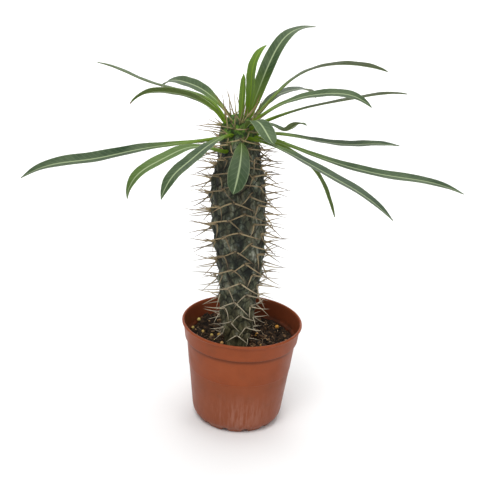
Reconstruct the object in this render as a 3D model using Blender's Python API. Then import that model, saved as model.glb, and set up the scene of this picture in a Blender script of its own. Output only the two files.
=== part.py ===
"""A madagascar palm, about 0.38 m tall, in a 12 cm terracotta-coloured nursery pot.

Metres and degrees, +Z up. The origin is the centre of the pot's foot, on the surface that
the pot stands on, and -Y is the front. Azimuths turn from +X towards +Y.
"""
import math
import random
from collections import namedtuple

import bmesh
import bpy
from mathutils import Matrix, Vector

TOUCHING_GAP = 0.0003

# Pot
POT_SIDES = 48
RIM_RADIUS = 0.060
POT_HEIGHT = 0.106
LIP_HEIGHT = 0.0030
COLLAR_HEIGHT = 0.0180
COLLAR_TOP_RADIUS = 0.0582
COLLAR_FOOT_RADIUS = 0.0564
WALL_TOP_RADIUS = 0.0545
WALL_FOOT_RADIUS = 0.0450
WALL_FOOT_HEIGHT = 0.0090
WALL_THICKNESS = 0.0012
FLOOR_THICKNESS = 0.0014
RING_HEIGHT = 0.0580
RING_STEP = 0.0004
FOOT_OUTER_RADIUS = 0.0388
FOOT_INNER_RADIUS = 0.0348
FLOOR_LIFT = 0.0030
PAD_RADIUS = 0.0140
FOOT_LOBES = 12
FOOT_NOTCH = 0.0020
FOOT_NOTCH_DEPTH = 0.0014
FOOT_FLARE = 0.0018
FOOT_FLARE_HEIGHT = 0.0020
HEEL_INSET = 0.0012
HEEL_HEIGHT = 0.0066
FLOOR_SLOPE = 0.0022
STEP_DROP = 0.0008
LIP_ROUNDING = 0.0005
INNER_HEEL = 0.0040
DRAIN_HOLES = 6
DRAIN_CIRCLE = 0.0250
DRAIN_RADIUS = 0.0040
DRAIN_SIDES = 8

# Soil
SOIL_TOP = 0.0830
SOIL_RINGS = 5
SOIL_LUMP = 0.0013
BACK_RISE = 0.0026
BACK_START = 0.002
BACK_END = 0.034
HEAP_X = -0.034
HEAP_Y = 0.031
HEAP_HEIGHT = 0.0085
HEAP_SPREAD = 0.0095
SOIL_SIDE_GAP = 0.00035
CALM_RADIUS = 0.016
CALM_WIDTH = 0.008
CHIP_COUNT = 20
CHIP_SEED = 7
CHIP_SIDES = 6
CHIP_LENGTHS = (0.0040, 0.0085)
CHIP_THICKNESSES = (0.0030, 0.0040)
CHIP_TILT = 14.0
CHIP_SPACING = 0.0105
CHIP_TO_WALL = 0.0065
CHIP_TO_STEM = 0.0175

# Stem: its axis leans a little to the left, and it is widest above the middle
STEM_SIDES = 28
STEM_FOOT = 0.0553
STEM_NECK = 0.0860
STEM_Y = -0.0040
STEM_AXIS_X = ((0.050, -0.0042), (0.080, -0.0042), (0.086, -0.0042), (0.125, -0.0059),
               (0.165, -0.0055), (0.210, -0.0098), (0.250, -0.0130), (0.268, -0.0126),
               (0.285, -0.0132), (0.300, -0.0148), (0.320, -0.0160))
STEM_RADIUS = ((0.050, 0.0120), (0.080, 0.0120), (0.086, 0.0120), (0.094, 0.0133),
               (0.108, 0.0152), (0.130, 0.0175), (0.158, 0.0203), (0.193, 0.0238),
               (0.218, 0.0253), (0.250, 0.0251), (0.268, 0.0213), (0.285, 0.0179),
               (0.300, 0.0164), (0.309, 0.0139), (0.315, 0.0102), (0.3185, 0.0055))
STEM_TOP = 0.3195
STEM_BODY_RINGS = 40
STEM_SHOULDER = 0.300
DOME_RINGS = (0.3045, 0.3090, 0.3130, 0.3160, 0.3183)

# Tubercles: one every golden angle up the stem, each with a pair of long spines
TURN_PER_TUBERCLE = -137.6
FIRST_AZIMUTH = 292.0
FIRST_TUBERCLE = 0.0823
LOWEST_TUBERCLE = 0.0900
HIGHEST_TUBERCLE = 0.3180
TUBERCLE_RISE = 0.001888
TUBERCLE_CLOSING = 0.00000258
TUBERCLE_HEIGHT = 0.0020
TUBERCLE_SPREAD = 0.0050
MOST_OVERLAP = 1.2
FOOT_FADE = 0.010
CROWN_FADE = 0.020
LEAST_FADE = 0.25
SPINE_RADIUS = 0.00095
SPINE_SINK = 0.0016
SPINE_ROOT_OFFSET = 0.0013
SPINE_LENGTH = 0.0280
FOOT_SPINE_LENGTH = 0.0130
FOOT_SPINES_END = 0.1000
FULL_SPINES_START = 0.1600
CROWN_SPINES_START = 0.3080
CROWN_SPINES_FULL = 0.3170
TUFT_SPINES = 16
TUFT_LOW = 0.3085
TUFT_HIGH = 0.3160
TUFT_RISES = (50.0, 80.0)
TUFT_LENGTHS = (0.026, 0.034)
STEEPEST_SPINE = 84.0
LEAST_OUTWARD = 0.35
SPINE_SPREAD = 49.0
SPREAD_VARIATION = 9.0
SPINE_LIFT = -6.0
LIFT_VARIATION = 8.0
CROWN_SPINE_LIFT = 45.0
NORMAL_RISE_SHARE = 0.4
SPINE_SEED = 21
TUFT_SEED = 5
SPINE_TO_LEAF = 0.0011
SPINE_TO_SOIL = 0.0040

# Leaves
LEAF_STATIONS = 11
LEAF_SEAT_GAP = 0.0005
LEAF_STUB = 0.0022
INTEGRATION_STEPS = 8
PATH_PARTS = 4
PETIOLE_HALF_WIDTH = 0.0013
TIP_START = 0.95
TIP_SHARE = 0.35
ROLL_SHARE = 0.15
EDGE_HALF_THICKNESS = 0.00035
MIDRIB_TOP = 0.00030
MIDRIB_KEEL = 0.00095
BLADE_OUTLINE = ((0.00, 0.00), (0.10, 0.06), (0.25, 0.42), (0.42, 0.80), (0.60, 1.00),
                 (0.76, 0.96), (0.88, 0.72), (0.95, 0.42), (1.00, 0.00))
SHORT_OUTLINE = ((0.00, 0.10), (0.13, 0.50), (0.38, 0.85), (0.58, 1.00), (0.80, 0.83),
                 (0.93, 0.44), (1.00, 0.00))
LONGEST_SHORT_LEAF = 0.062
YOUNG_OUTLINE = ((0.00, 0.45), (0.20, 0.85), (0.40, 1.00), (0.62, 0.92), (0.82, 0.62),
                 (0.94, 0.28), (1.00, 0.00))

# azimuth and height of its seat on the stem, length, rise at its foot, quarter, middle,
# three quarters and tip, sweep (change of azimuth to the tip), width, roll and fold
Leaf = namedtuple("Leaf", "name azimuth height length rise sweep width roll fold young")
LEAVES = (
    Leaf("leaf_01", 190, 0.296, 0.187, (-10, -9, -15, -9, -36), -4, 0.020, -11, 16, False),
    Leaf("leaf_02", 234, 0.288, 0.132, (20, 16, -14, -26, -92), -26, 0.015, -6, 12, False),
    Leaf("leaf_03", 250, 0.304, 0.131, (12, 1, -12, -17, -68), -14, 0.0165, 7, 8, False),
    Leaf("leaf_04", 154, 0.312, 0.155, (56, 5, 2, 11, -3), -6, 0.010, 15, 12, False),
    Leaf("leaf_05", 205, 0.313, 0.105, (54, 32, 15, -1, -50), -1, 0.013, 40, 12, False),
    Leaf("leaf_06", 134, 0.314, 0.103, (30, 20, 4, -8, -50), 5, 0.017, -14, 12, False),
    Leaf("leaf_07", 284, 0.3175, 0.042, (86, 88, 90, 88, 84), 0, 0.006, 0, 20, True),
    Leaf("leaf_08", 38, 0.316, 0.071, (87, 87, 91, 62, 18), 8, 0.0125, 0, 15, True),
    Leaf("leaf_09", 61, 0.311, 0.144, (50, 56, 44, 7, -11), -8, 0.016, 0, 10, True),
    Leaf("leaf_10", 33, 0.311, 0.172, (49, 37, 7, -9, -19), 0, 0.016, -24, 12, False),
    Leaf("leaf_11", 66, 0.303, 0.140, (20, 19, -1, -8, -48), -14, 0.015, -2, 12, False),
    Leaf("leaf_12", -12, 0.313, 0.120, (48, 31, 17, 1, -40), 0, 0.016, 12, 10, False),
    Leaf("leaf_13", 17, 0.308, 0.153, (26, 15, 9, 8, -7), 0, 0.016, -22, 12, False),
    Leaf("leaf_14", 11, 0.301, 0.138, (4, -11, -8, 3, -9), -1, 0.016, 3, 10, False),
    Leaf("leaf_15", -9, 0.303, 0.199, (-16, -16, -9, -3, -22), 5, 0.018, 6, 10, False),
    Leaf("leaf_16", -58, 0.302, 0.180, (13, -1, -9, -14, -36), 30, 0.020, -9, 10, False),
    Leaf("leaf_17", -26, 0.301, 0.112, (0, -16, -34, -62, -66), 5, 0.014, -38, 12, False),
    Leaf("leaf_18", -60, 0.312, 0.059, (41, 23, -14, -25, -12), -4, 0.018, 0, 8, False),
    Leaf("leaf_19", -40, 0.310, 0.066, (40, 15, -13, 45, -22), 8, 0.014, -15, 12, False),
    Leaf("leaf_20", 278, 0.297, 0.050, (-20, -50, -60, -62, -60), -38, 0.020, 0, 5, False),
    Leaf("leaf_21", 97, 0.303, 0.120, (5, -35, -62, -75, -80), 2, 0.016, 0, 10, False),
    Leaf("leaf_22", 80, 0.294, 0.105, (-5, -45, -68, -78, -82), -8, 0.017, 0, 10, False),
)


def clear_scene():
    """Remove every object that the file holds."""
    for thing in list(bpy.data.objects):
        bpy.data.objects.remove(thing, do_unlink=True)


def make_material(name, colour, roughness):
    """One plain Principled material."""
    material = bpy.data.materials.new(name)
    material.use_nodes = True
    shader = material.node_tree.nodes["Principled BSDF"]
    shader.inputs["Base Color"].default_value = (*colour, 1.0)
    shader.inputs["Roughness"].default_value = roughness
    shader.inputs["Metallic"].default_value = 0.0
    material.diffuse_color = (*colour, 1.0)
    return material


def make_object(name, points, faces, material, sharp_angle=40.0):
    """A mesh object in the scene from points and faces, shaded smooth."""
    mesh = bpy.data.meshes.new(name)
    mesh.from_pydata([tuple(point) for point in points], [], faces)
    mesh.update()
    mesh.shade_smooth()
    mesh.set_sharp_from_angle(angle=math.radians(sharp_angle))
    thing = bpy.data.objects.new(name, mesh)
    bpy.context.scene.collection.objects.link(thing)
    if material is not None:
        mesh.materials.append(material)
    return thing


def apply_boolean(thing, operation, operands):
    """Cut or join a list of objects in one Boolean, apply it and remove them."""
    collection = bpy.data.collections.new("operands")
    bpy.context.scene.collection.children.link(collection)
    for operand in operands:
        bpy.context.scene.collection.objects.unlink(operand)
        collection.objects.link(operand)
    modifier = thing.modifiers.new("boolean", "BOOLEAN")
    modifier.operation = operation
    modifier.operand_type = "COLLECTION"
    modifier.collection = collection
    modifier.solver = "EXACT"
    with bpy.context.temp_override(object=thing, active_object=thing):
        bpy.ops.object.modifier_apply(modifier=modifier.name)
    for operand in operands:
        bpy.data.objects.remove(operand, do_unlink=True)
    bpy.data.collections.remove(collection)


def curve_value(points, at):
    """Read a smooth curve through (position, value) points."""
    if at <= points[0][0]:
        return points[0][1]
    if at >= points[-1][0]:
        return points[-1][1]
    index = max(i for i in range(len(points) - 1) if points[i][0] <= at)

    def slope(i):
        before, after = points[max(i - 1, 0)], points[min(i + 1, len(points) - 1)]
        return (after[1] - before[1]) / (after[0] - before[0])

    (low, first), (high, last) = points[index], points[index + 1]
    span = high - low
    t = (at - low) / span
    rise_in = slope(index) * span
    rise_out = slope(index + 1) * span
    return ((2 * t**3 - 3 * t**2 + 1) * first + (t**3 - 2 * t**2 + t) * rise_in
            + (3 * t**2 - 2 * t**3) * last + (t**3 - t**2) * rise_out)


def share_between(low, high, at):
    """How far a value has come from low to high, from 0 to 1."""
    return min(1.0, max(0.0, (at - low) / (high - low)))


def ring_points(centre, radius, height, sides, change=None):
    """One level ring of points; change(index) may give a radius and a height offset."""
    points = []
    for index in range(sides):
        angle = 2 * math.pi * index / sides
        wider, higher = change(index) if change else (0.0, 0.0)
        points.append(Vector((centre[0] + (radius + wider) * math.cos(angle),
                              centre[1] + (radius + wider) * math.sin(angle), height + higher)))
    return points


def skin_rings(rings):
    """Points and faces of a closed skin over rings, from a pole up to another pole.

    The first and last items are single points.
    """
    points = [rings[0]]
    starts = []
    for ring in rings[1:-1]:
        starts.append(len(points))
        points.extend(ring)
    last = len(points)
    points.append(rings[-1])
    sides = len(rings[1])
    faces = []
    for index in range(sides):
        after = (index + 1) % sides
        faces.append((0, starts[0] + after, starts[0] + index))
        for low, high in zip(starts, starts[1:]):
            faces.append((low + index, low + after, high + after))
            faces.append((low + index, high + after, high + index))
        faces.append((last, starts[-1] + index, starts[-1] + after))
    return points, faces


# Pot


def wall_radius(height):
    """The wall's outer radius below its collar."""
    share = (height - WALL_FOOT_HEIGHT) / (POT_HEIGHT - COLLAR_HEIGHT - WALL_FOOT_HEIGHT)
    return WALL_FOOT_RADIUS + share * (WALL_TOP_RADIUS - WALL_FOOT_RADIUS)


def foot_notch(index):
    """Radius and height offsets of the scalloped foot, notched between its lobes."""
    points_per_lobe = POT_SIDES // FOOT_LOBES
    if index % points_per_lobe == points_per_lobe // 2:
        return -FOOT_NOTCH_DEPTH, FOOT_NOTCH
    return 0.0, 0.0


def flare_notch(index):
    """The same notches, half as deep, where the foot flares into the heel."""
    inward, upward = foot_notch(index)
    return inward / 2, upward / 2


def build_pot(material):
    """The pot in one piece, turned from its outer and inner profile, with drain holes."""
    collar_foot = POT_HEIGHT - COLLAR_HEIGHT
    lip_foot = POT_HEIGHT - LIP_HEIGHT
    floor_top = FLOOR_LIFT + FLOOR_THICKNESS
    outside = (
        (PAD_RADIUS, 0.0, None),
        (PAD_RADIUS + FLOOR_SLOPE, FLOOR_LIFT, None),
        (FOOT_INNER_RADIUS - FLOOR_SLOPE, FLOOR_LIFT, None),
        (FOOT_INNER_RADIUS, 0.0, None),
        (FOOT_OUTER_RADIUS, 0.0, foot_notch),
        (FOOT_OUTER_RADIUS + FOOT_FLARE, FOOT_FLARE_HEIGHT, flare_notch),
        (WALL_FOOT_RADIUS - HEEL_INSET, HEEL_HEIGHT, None),
        (WALL_FOOT_RADIUS, WALL_FOOT_HEIGHT, None),
        (wall_radius(RING_HEIGHT), RING_HEIGHT, None),
        (wall_radius(RING_HEIGHT) + RING_STEP, RING_HEIGHT + RING_STEP, None),
        (WALL_TOP_RADIUS, collar_foot - STEP_DROP, None),
        (COLLAR_FOOT_RADIUS, collar_foot, None),
        (COLLAR_TOP_RADIUS, lip_foot, None),
        (RIM_RADIUS - LIP_ROUNDING, lip_foot + LIP_ROUNDING, None),
        (RIM_RADIUS, POT_HEIGHT - 2 * LIP_ROUNDING, None),
        (RIM_RADIUS - LIP_ROUNDING, POT_HEIGHT, None),
    )
    inside = (
        (COLLAR_TOP_RADIUS - LIP_ROUNDING, POT_HEIGHT, None),
        (COLLAR_TOP_RADIUS - WALL_THICKNESS, lip_foot, None),
        (COLLAR_FOOT_RADIUS - WALL_THICKNESS, collar_foot + LIP_ROUNDING, None),
        (WALL_TOP_RADIUS - WALL_THICKNESS, collar_foot - 2 * STEP_DROP, None),
        (WALL_FOOT_RADIUS - WALL_THICKNESS, WALL_FOOT_HEIGHT, None),
        (WALL_FOOT_RADIUS - INNER_HEEL, floor_top, None),
        (PAD_RADIUS + 1.5 * FLOOR_SLOPE, floor_top, None),
        (PAD_RADIUS + LIP_ROUNDING, FLOOR_THICKNESS, None),
    )
    rings = [Vector((0.0, 0.0, 0.0))]
    for radius, height, change in outside + inside:
        rings.append(ring_points((0.0, 0.0), radius, height, POT_SIDES, change))
    rings.append(Vector((0.0, 0.0, FLOOR_THICKNESS)))
    pot = make_object("pot", *skin_rings(rings), material)

    cutters = []
    for index in range(DRAIN_HOLES):
        angle = 2 * math.pi * (index + 0.5) / DRAIN_HOLES
        centre = (DRAIN_CIRCLE * math.cos(angle), DRAIN_CIRCLE * math.sin(angle))
        low, high = FLOOR_LIFT - DRAIN_RADIUS, floor_top + DRAIN_RADIUS
        cutter_rings = [Vector((*centre, low)),
                        ring_points(centre, DRAIN_RADIUS, low, DRAIN_SIDES),
                        ring_points(centre, DRAIN_RADIUS, high, DRAIN_SIDES),
                        Vector((*centre, high))]
        cutter = make_object(f"drain_{index}", *skin_rings(cutter_rings), None)
        cutter.hide_render = True
        cutter.display_type = "WIRE"
        cutters.append(cutter)
    apply_boolean(pot, "DIFFERENCE", cutters)
    return pot


# Soil


def soil_height(x, y):
    """The soil's lumpy top: level round the stem, higher behind, heaped at the back left."""
    foot_x = curve_value(STEM_AXIS_X, SOIL_TOP)
    from_stem = math.hypot(x - foot_x, y - STEM_Y)
    calm = share_between(CALM_RADIUS, CALM_RADIUS + CALM_WIDTH, from_stem)
    lumps = (math.sin(310 * x + 1.3) * math.sin(270 * y - 0.4)
             + 0.6 * math.sin(520 * x + 440 * y) + 0.4 * math.sin(700 * y - 330 * x + 2.0))
    back = BACK_RISE * share_between(BACK_START, BACK_END, y)
    heap = HEAP_HEIGHT * math.exp(-((x - HEAP_X) ** 2 + (y - HEAP_Y) ** 2) / HEAP_SPREAD ** 2)
    return SOIL_TOP + calm * (SOIL_LUMP * lumps + back) + heap


def build_soil(material):
    """The soil in one piece: the pot's inside, a plain hole for the stem, and chips on top."""
    foot_x = curve_value(STEM_AXIS_X, SOIL_TOP)
    hole_radius = STEM_RADIUS[0][1] + TOUCHING_GAP
    bottom = FLOOR_LIFT + FLOOR_THICKNESS + TOUCHING_GAP
    side = WALL_THICKNESS + SOIL_SIDE_GAP
    foot_radius = WALL_FOOT_RADIUS - side
    heel_radius = WALL_FOOT_RADIUS - INNER_HEEL - TOUCHING_GAP
    edge_radius = wall_radius(SOIL_TOP) - side
    rings = [Vector((0.0, 0.0, bottom)),
             ring_points((0.0, 0.0), heel_radius, bottom, POT_SIDES),
             ring_points((0.0, 0.0), foot_radius, WALL_FOOT_HEIGHT, POT_SIDES),
             ring_points((0.0, 0.0), edge_radius, SOIL_TOP, POT_SIDES)]
    for step in range(1, SOIL_RINGS + 1):
        share = step / SOIL_RINGS
        centre = (foot_x * share, STEM_Y * share)
        radius = edge_radius + share * (hole_radius - edge_radius)
        ring = ring_points(centre, radius, SOIL_TOP, POT_SIDES)
        rings.append([Vector((p.x, p.y, soil_height(p.x, p.y))) for p in ring])
    hole_bottom = STEM_FOOT - TOUCHING_GAP
    rings.append(ring_points((foot_x, STEM_Y), hole_radius, hole_bottom, POT_SIDES))
    rings.append(Vector((foot_x, STEM_Y, hole_bottom)))
    soil = make_object("soil", *skin_rings(rings), material)
    apply_boolean(soil, "UNION", build_chips(foot_x, edge_radius))
    return soil


def build_chips(foot_x, edge_radius):
    """Bark chips that lie half sunk in the soil, placed by a seeded draw with room between."""
    draw = random.Random(CHIP_SEED)
    places = []
    chips = []
    while len(chips) < CHIP_COUNT:
        angle = draw.uniform(0.0, 2 * math.pi)
        radius = draw.uniform(CHIP_TO_STEM, edge_radius - CHIP_TO_WALL)
        x, y = radius * math.cos(angle), radius * math.sin(angle)
        length = draw.uniform(*CHIP_LENGTHS)
        if math.hypot(x - foot_x, y - STEM_Y) < CHIP_TO_STEM + length / 2:
            continue
        if any(math.hypot(x - a, y - b) < CHIP_SPACING for a, b in places):
            continue
        places.append((x, y))
        size = (length, length * draw.uniform(0.4, 0.7), draw.uniform(*CHIP_THICKNESSES))
        turn = (Matrix.Rotation(draw.uniform(0.0, 2 * math.pi), 4, "Z")
                @ Matrix.Rotation(math.radians(draw.uniform(-CHIP_TILT, CHIP_TILT)), 4, "X"))
        sink = Vector((x, y, soil_height(x, y)))
        chips.append(build_chip(f"chip_{len(chips)}", size, turn, sink, draw))
    return chips


def build_chip(name, size, turn, place, draw):
    """A six-sided flake of bark with an uneven outline."""
    low, high = [], []
    for index in range(CHIP_SIDES):
        angle = 2 * math.pi * index / CHIP_SIDES
        reach = draw.uniform(0.8, 1.0)
        x = size[0] / 2 * reach * math.cos(angle)
        y = size[1] / 2 * reach * math.sin(angle)
        low.append(place + turn @ Vector((x, y, -size[2] / 2)))
        high.append(place + turn @ Vector((x * 0.9, y * 0.9, size[2] / 2)))
    rings = [place + turn @ Vector((0, 0, -size[2] / 2)), low, high,
             place + turn @ Vector((0, 0, size[2] / 2))]
    return make_object(name, *skin_rings(rings), None)


# Stem


def tubercle_places():
    """Azimuth and height of every tubercle; they stand closer together towards the crown."""
    places = []
    index = 0
    height = FIRST_TUBERCLE
    while height < HIGHEST_TUBERCLE:
        if height > LOWEST_TUBERCLE:
            places.append((math.radians(FIRST_AZIMUTH + TURN_PER_TUBERCLE * index), height))
        index += 1
        height = FIRST_TUBERCLE + TUBERCLE_RISE * index - TUBERCLE_CLOSING * index ** 2
    return places


TUBERCLES = tubercle_places()


def tubercle_relief(azimuth, height, radius):
    """How far the tubercles raise the stem's surface at a place."""
    raised = 0.0
    for place_azimuth, place_height in TUBERCLES:
        up = height - place_height
        if abs(up) > 3 * TUBERCLE_SPREAD:
            continue
        turn = (azimuth - place_azimuth + math.pi) % (2 * math.pi) - math.pi
        distance = math.hypot(up, turn * radius)
        raised += math.exp(-(distance / TUBERCLE_SPREAD) ** 2)
    foot_fade = share_between(STEM_NECK, STEM_NECK + FOOT_FADE, height)
    crown_fade = min(1.0, max(LEAST_FADE, (STEM_TOP - height) / CROWN_FADE))
    return TUBERCLE_HEIGHT * min(raised, MOST_OVERLAP) * foot_fade * crown_fade


def stem_point(azimuth, height):
    """A point of the stem's surface."""
    radius = curve_value(STEM_RADIUS, height)
    radius += tubercle_relief(azimuth, height, radius)
    return Vector((curve_value(STEM_AXIS_X, height) + radius * math.cos(azimuth),
                   STEM_Y + radius * math.sin(azimuth), height))


def stem_normal(azimuth, height):
    """The outward direction of the stem's surface, with the tubercles left out."""
    step = 0.0015
    low, high = height - step, min(height + step, STEM_RADIUS[-1][0])
    outward = curve_value(STEM_RADIUS, low) - curve_value(STEM_RADIUS, high)
    normal = Vector((math.cos(azimuth) * (high - low), math.sin(azimuth) * (high - low), outward))
    return normal.normalized()


def stem_rings():
    """Rings of the stem's skin: the peg in the soil, the body and the domed crown."""
    heights = [STEM_FOOT, STEM_NECK]
    for index in range(1, STEM_BODY_RINGS + 1):
        heights.append(STEM_NECK + (STEM_SHOULDER - STEM_NECK) * index / STEM_BODY_RINGS)
    heights.extend(DOME_RINGS)
    rings = [Vector((curve_value(STEM_AXIS_X, STEM_FOOT), STEM_Y, STEM_FOOT))]
    for height in heights:
        rings.append([stem_point(2 * math.pi * i / STEM_SIDES, height) for i in range(STEM_SIDES)])
    rings.append(Vector((curve_value(STEM_AXIS_X, STEM_TOP), STEM_Y, STEM_TOP)))
    return rings


def spine_clear(root, tip, leaf_paths):
    """Whether a spine keeps its distance from the soil and from every leaf."""
    if min(tip.z, root.z) < SOIL_TOP + SPINE_TO_SOIL:
        return False
    for path in leaf_paths:
        for centre, half_width in path:
            along = tip - root
            share = min(1.0, max(0.0, (centre - root).dot(along) / along.length_squared))
            if (root + along * share - centre).length < half_width + SPINE_TO_LEAF:
                return False
    return True


def spine_direction(normal, turn, lift):
    """The outward direction turned sideways and lifted, in degrees."""
    azimuth = math.atan2(normal.y, normal.x) + math.radians(turn)
    rise = math.asin(normal.z) * NORMAL_RISE_SHARE + math.radians(lift)
    rise = min(rise, math.radians(STEEPEST_SPINE))
    return Vector((math.cos(rise) * math.cos(azimuth), math.cos(rise) * math.sin(azimuth),
                   math.sin(rise)))


BENDS = sorted(((turn, lift) for turn in range(-48, 49, 12) for lift in range(-30, 46, 15)),
               key=lambda bend: abs(bend[0]) + abs(bend[1]))


def first_clear(root, normal, turn, lift, size, leaf_paths):
    """The least bent direction in which a spine meets nothing, or None."""
    for more_turn, more_lift in BENDS:
        direction = spine_direction(normal, turn + more_turn, lift + more_lift)
        if direction.dot(normal) < LEAST_OUTWARD:
            continue
        if spine_clear(root, root + direction * size, leaf_paths):
            return direction
    return None


def spine_plan(leaf_paths):
    """Root, direction and length of every spine; those that would meet a leaf bend clear."""
    draw = random.Random(SPINE_SEED)
    plan = []
    for azimuth, height in TUBERCLES:
        middle = stem_point(azimuth, height)
        normal = stem_normal(azimuth, height)
        grown = share_between(FOOT_SPINES_END, FULL_SPINES_START, height)
        length = FOOT_SPINE_LENGTH + grown * (SPINE_LENGTH - FOOT_SPINE_LENGTH)
        crown = share_between(CROWN_SPINES_START, CROWN_SPINES_FULL, height)
        for side in (-1, 1):
            sideways = Vector((-math.sin(azimuth), math.cos(azimuth), 0.0))
            root = middle + side * SPINE_ROOT_OFFSET * sideways
            turn = side * SPINE_SPREAD + draw.uniform(-SPREAD_VARIATION, SPREAD_VARIATION)
            lift = (SPINE_LIFT + draw.uniform(-LIFT_VARIATION, LIFT_VARIATION)
                    + CROWN_SPINE_LIFT * crown)
            size = length * draw.uniform(0.88, 1.12)
            direction = first_clear(root, normal, turn, lift, size, leaf_paths)
            if direction is not None:
                plan.append((root, direction, size))
    return plan


def tuft_plan(leaf_paths):
    """Upright spines of the youngest tubercles, round the growing tip."""
    draw = random.Random(TUFT_SEED)
    plan = []
    for index in range(TUFT_SPINES):
        azimuth = math.radians(TURN_PER_TUBERCLE * index + draw.uniform(-15, 15))
        height = TUFT_LOW + (TUFT_HIGH - TUFT_LOW) * index / TUFT_SPINES
        normal = stem_normal(azimuth, height)
        rise = draw.uniform(*TUFT_RISES)
        lift = rise - math.degrees(math.asin(normal.z)) * NORMAL_RISE_SHARE
        size = draw.uniform(*TUFT_LENGTHS)
        root = stem_point(azimuth, height)
        direction = first_clear(root, normal, draw.uniform(-25, 25), lift, size, leaf_paths)
        if direction is not None:
            plan.append((root, direction, size))
    return plan


def build_spine(name, root, direction, length):
    """A slim three-sided spine whose root is sunk in the stem."""
    base = root - direction * SPINE_SINK
    tip = root + direction * length
    turn = direction.to_track_quat("Z", "Y")
    ring = [base + turn @ Vector((SPINE_RADIUS * math.cos(a), SPINE_RADIUS * math.sin(a), 0))
            for a in (2 * math.pi * i / 3 for i in range(3))]
    return make_object(name, [*ring, tip], [(2, 1, 0), (0, 1, 3), (1, 2, 3), (2, 0, 3)], None)


def build_stem(material, leaf_paths):
    """The stem in one piece: its skin with tubercles, and all its spines fused to it."""
    stem = make_object("stem", *skin_rings(stem_rings()), material)
    spines = [build_spine(f"spine_{index}", *spine)
              for index, spine in enumerate(spine_plan(leaf_paths) + tuft_plan(leaf_paths))]
    apply_boolean(stem, "UNION", spines)
    return stem


# Leaves


def leaf_half_width(leaf, share):
    """Half of the blade's width at a share of its length."""
    outline = YOUNG_OUTLINE if leaf.young else BLADE_OUTLINE
    if leaf.length < LONGEST_SHORT_LEAF and not leaf.young:
        outline = SHORT_OUTLINE
    extra = max(0.0, leaf.width / 2 - PETIOLE_HALF_WIDTH) * curve_value(outline, share)
    narrowing = share_between(TIP_START, 1.0, share) * (1.0 - TIP_SHARE)
    return PETIOLE_HALF_WIDTH * (1.0 - narrowing) + extra


def leaf_stations(leaf):
    """Centre, direction, sideways vector and half width at every station of a leaf."""
    azimuth = math.radians(leaf.azimuth)
    normal = stem_normal(azimuth, leaf.height)
    seat = stem_point(azimuth, leaf.height) + normal * LEAF_SEAT_GAP
    heading = Vector((-math.sin(azimuth), math.cos(azimuth), 0.0))
    stations = [(seat, normal, heading, PETIOLE_HALF_WIDTH)]
    centre = seat + normal * LEAF_STUB
    rises = [(0.25 * index, rise) for index, rise in enumerate(leaf.rise)]
    share_step = 1.0 / (LEAF_STATIONS * INTEGRATION_STEPS)
    for station in range(LEAF_STATIONS + 1):
        share = station / LEAF_STATIONS
        direction, sideways = leaf_frame(leaf, rises, share)
        stations.append((centre.copy(), direction, sideways, leaf_half_width(leaf, share)))
        for step in range(INTEGRATION_STEPS):
            middle = share + (step + 0.5) * share_step
            centre += leaf_frame(leaf, rises, middle)[0] * (leaf.length * share_step)
    return stations


def leaf_path(leaf):
    """Points along a leaf's midrib, with the half width there, close enough for clearances."""
    path = []
    stations = leaf_stations(leaf)
    for (low, _, _, low_width), (high, _, _, high_width) in zip(stations, stations[1:]):
        for part in range(PATH_PARTS):
            share = part / PATH_PARTS
            path.append((low.lerp(high, share), low_width + share * (high_width - low_width)))
    return path


def leaf_frame(leaf, rises, share):
    """Direction along the leaf and sideways vector at a share of its length."""
    azimuth = math.radians(leaf.azimuth + leaf.sweep * share)
    rise = math.radians(curve_value(rises, min(share, 1.0)))
    direction = Vector((math.cos(rise) * math.cos(azimuth), math.cos(rise) * math.sin(azimuth),
                        math.sin(rise)))
    sideways = Vector((-math.sin(azimuth), math.cos(azimuth), 0.0))
    roll = Matrix.Rotation(math.radians(leaf.roll) * min(1.0, share / ROLL_SHARE), 3, direction)
    return direction, roll @ sideways


def build_leaf(leaf, material):
    """A thin folded blade with a keeled midrib, from its seat to its tip."""
    points, faces = [], []
    stations = leaf_stations(leaf)
    rise_per_width = math.tan(math.radians(leaf.fold))
    for centre, direction, sideways, half_width in stations:
        up = direction.cross(sideways).normalized()
        raised = rise_per_width * max(0.0, half_width - PETIOLE_HALF_WIDTH)
        section = ((-half_width, raised + EDGE_HALF_THICKNESS), (0.0, MIDRIB_TOP),
                   (half_width, raised + EDGE_HALF_THICKNESS),
                   (half_width, raised - EDGE_HALF_THICKNESS), (0.0, -MIDRIB_KEEL),
                   (-half_width, raised - EDGE_HALF_THICKNESS))
        points.extend(centre + sideways * across + up * high for across, high in section)
    sides = 6
    for station in range(len(stations) - 1):
        low, high = station * sides, (station + 1) * sides
        for side in range(sides):
            after = (side + 1) % sides
            if side < 3:
                faces.append((low + side, low + after, high + after))
                faces.append((low + side, high + after, high + side))
            else:
                faces.append((low + side, low + after, high + side))
                faces.append((low + after, high + after, high + side))
    faces.append((5, 4, 1, 0))
    faces.append((4, 3, 2, 1))
    last = (len(stations) - 1) * sides
    faces.append((last, last + 1, last + 4, last + 5))
    faces.append((last + 1, last + 2, last + 3, last + 4))
    return make_object(leaf.name, points, faces, material, sharp_angle=70.0)


def face_outward(thing):
    """Turn a closed body's faces outward."""
    shape = bmesh.new()
    shape.from_mesh(thing.data)
    bmesh.ops.recalc_face_normals(shape, faces=shape.faces)
    shape.to_mesh(thing.data)
    shape.free()


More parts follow.
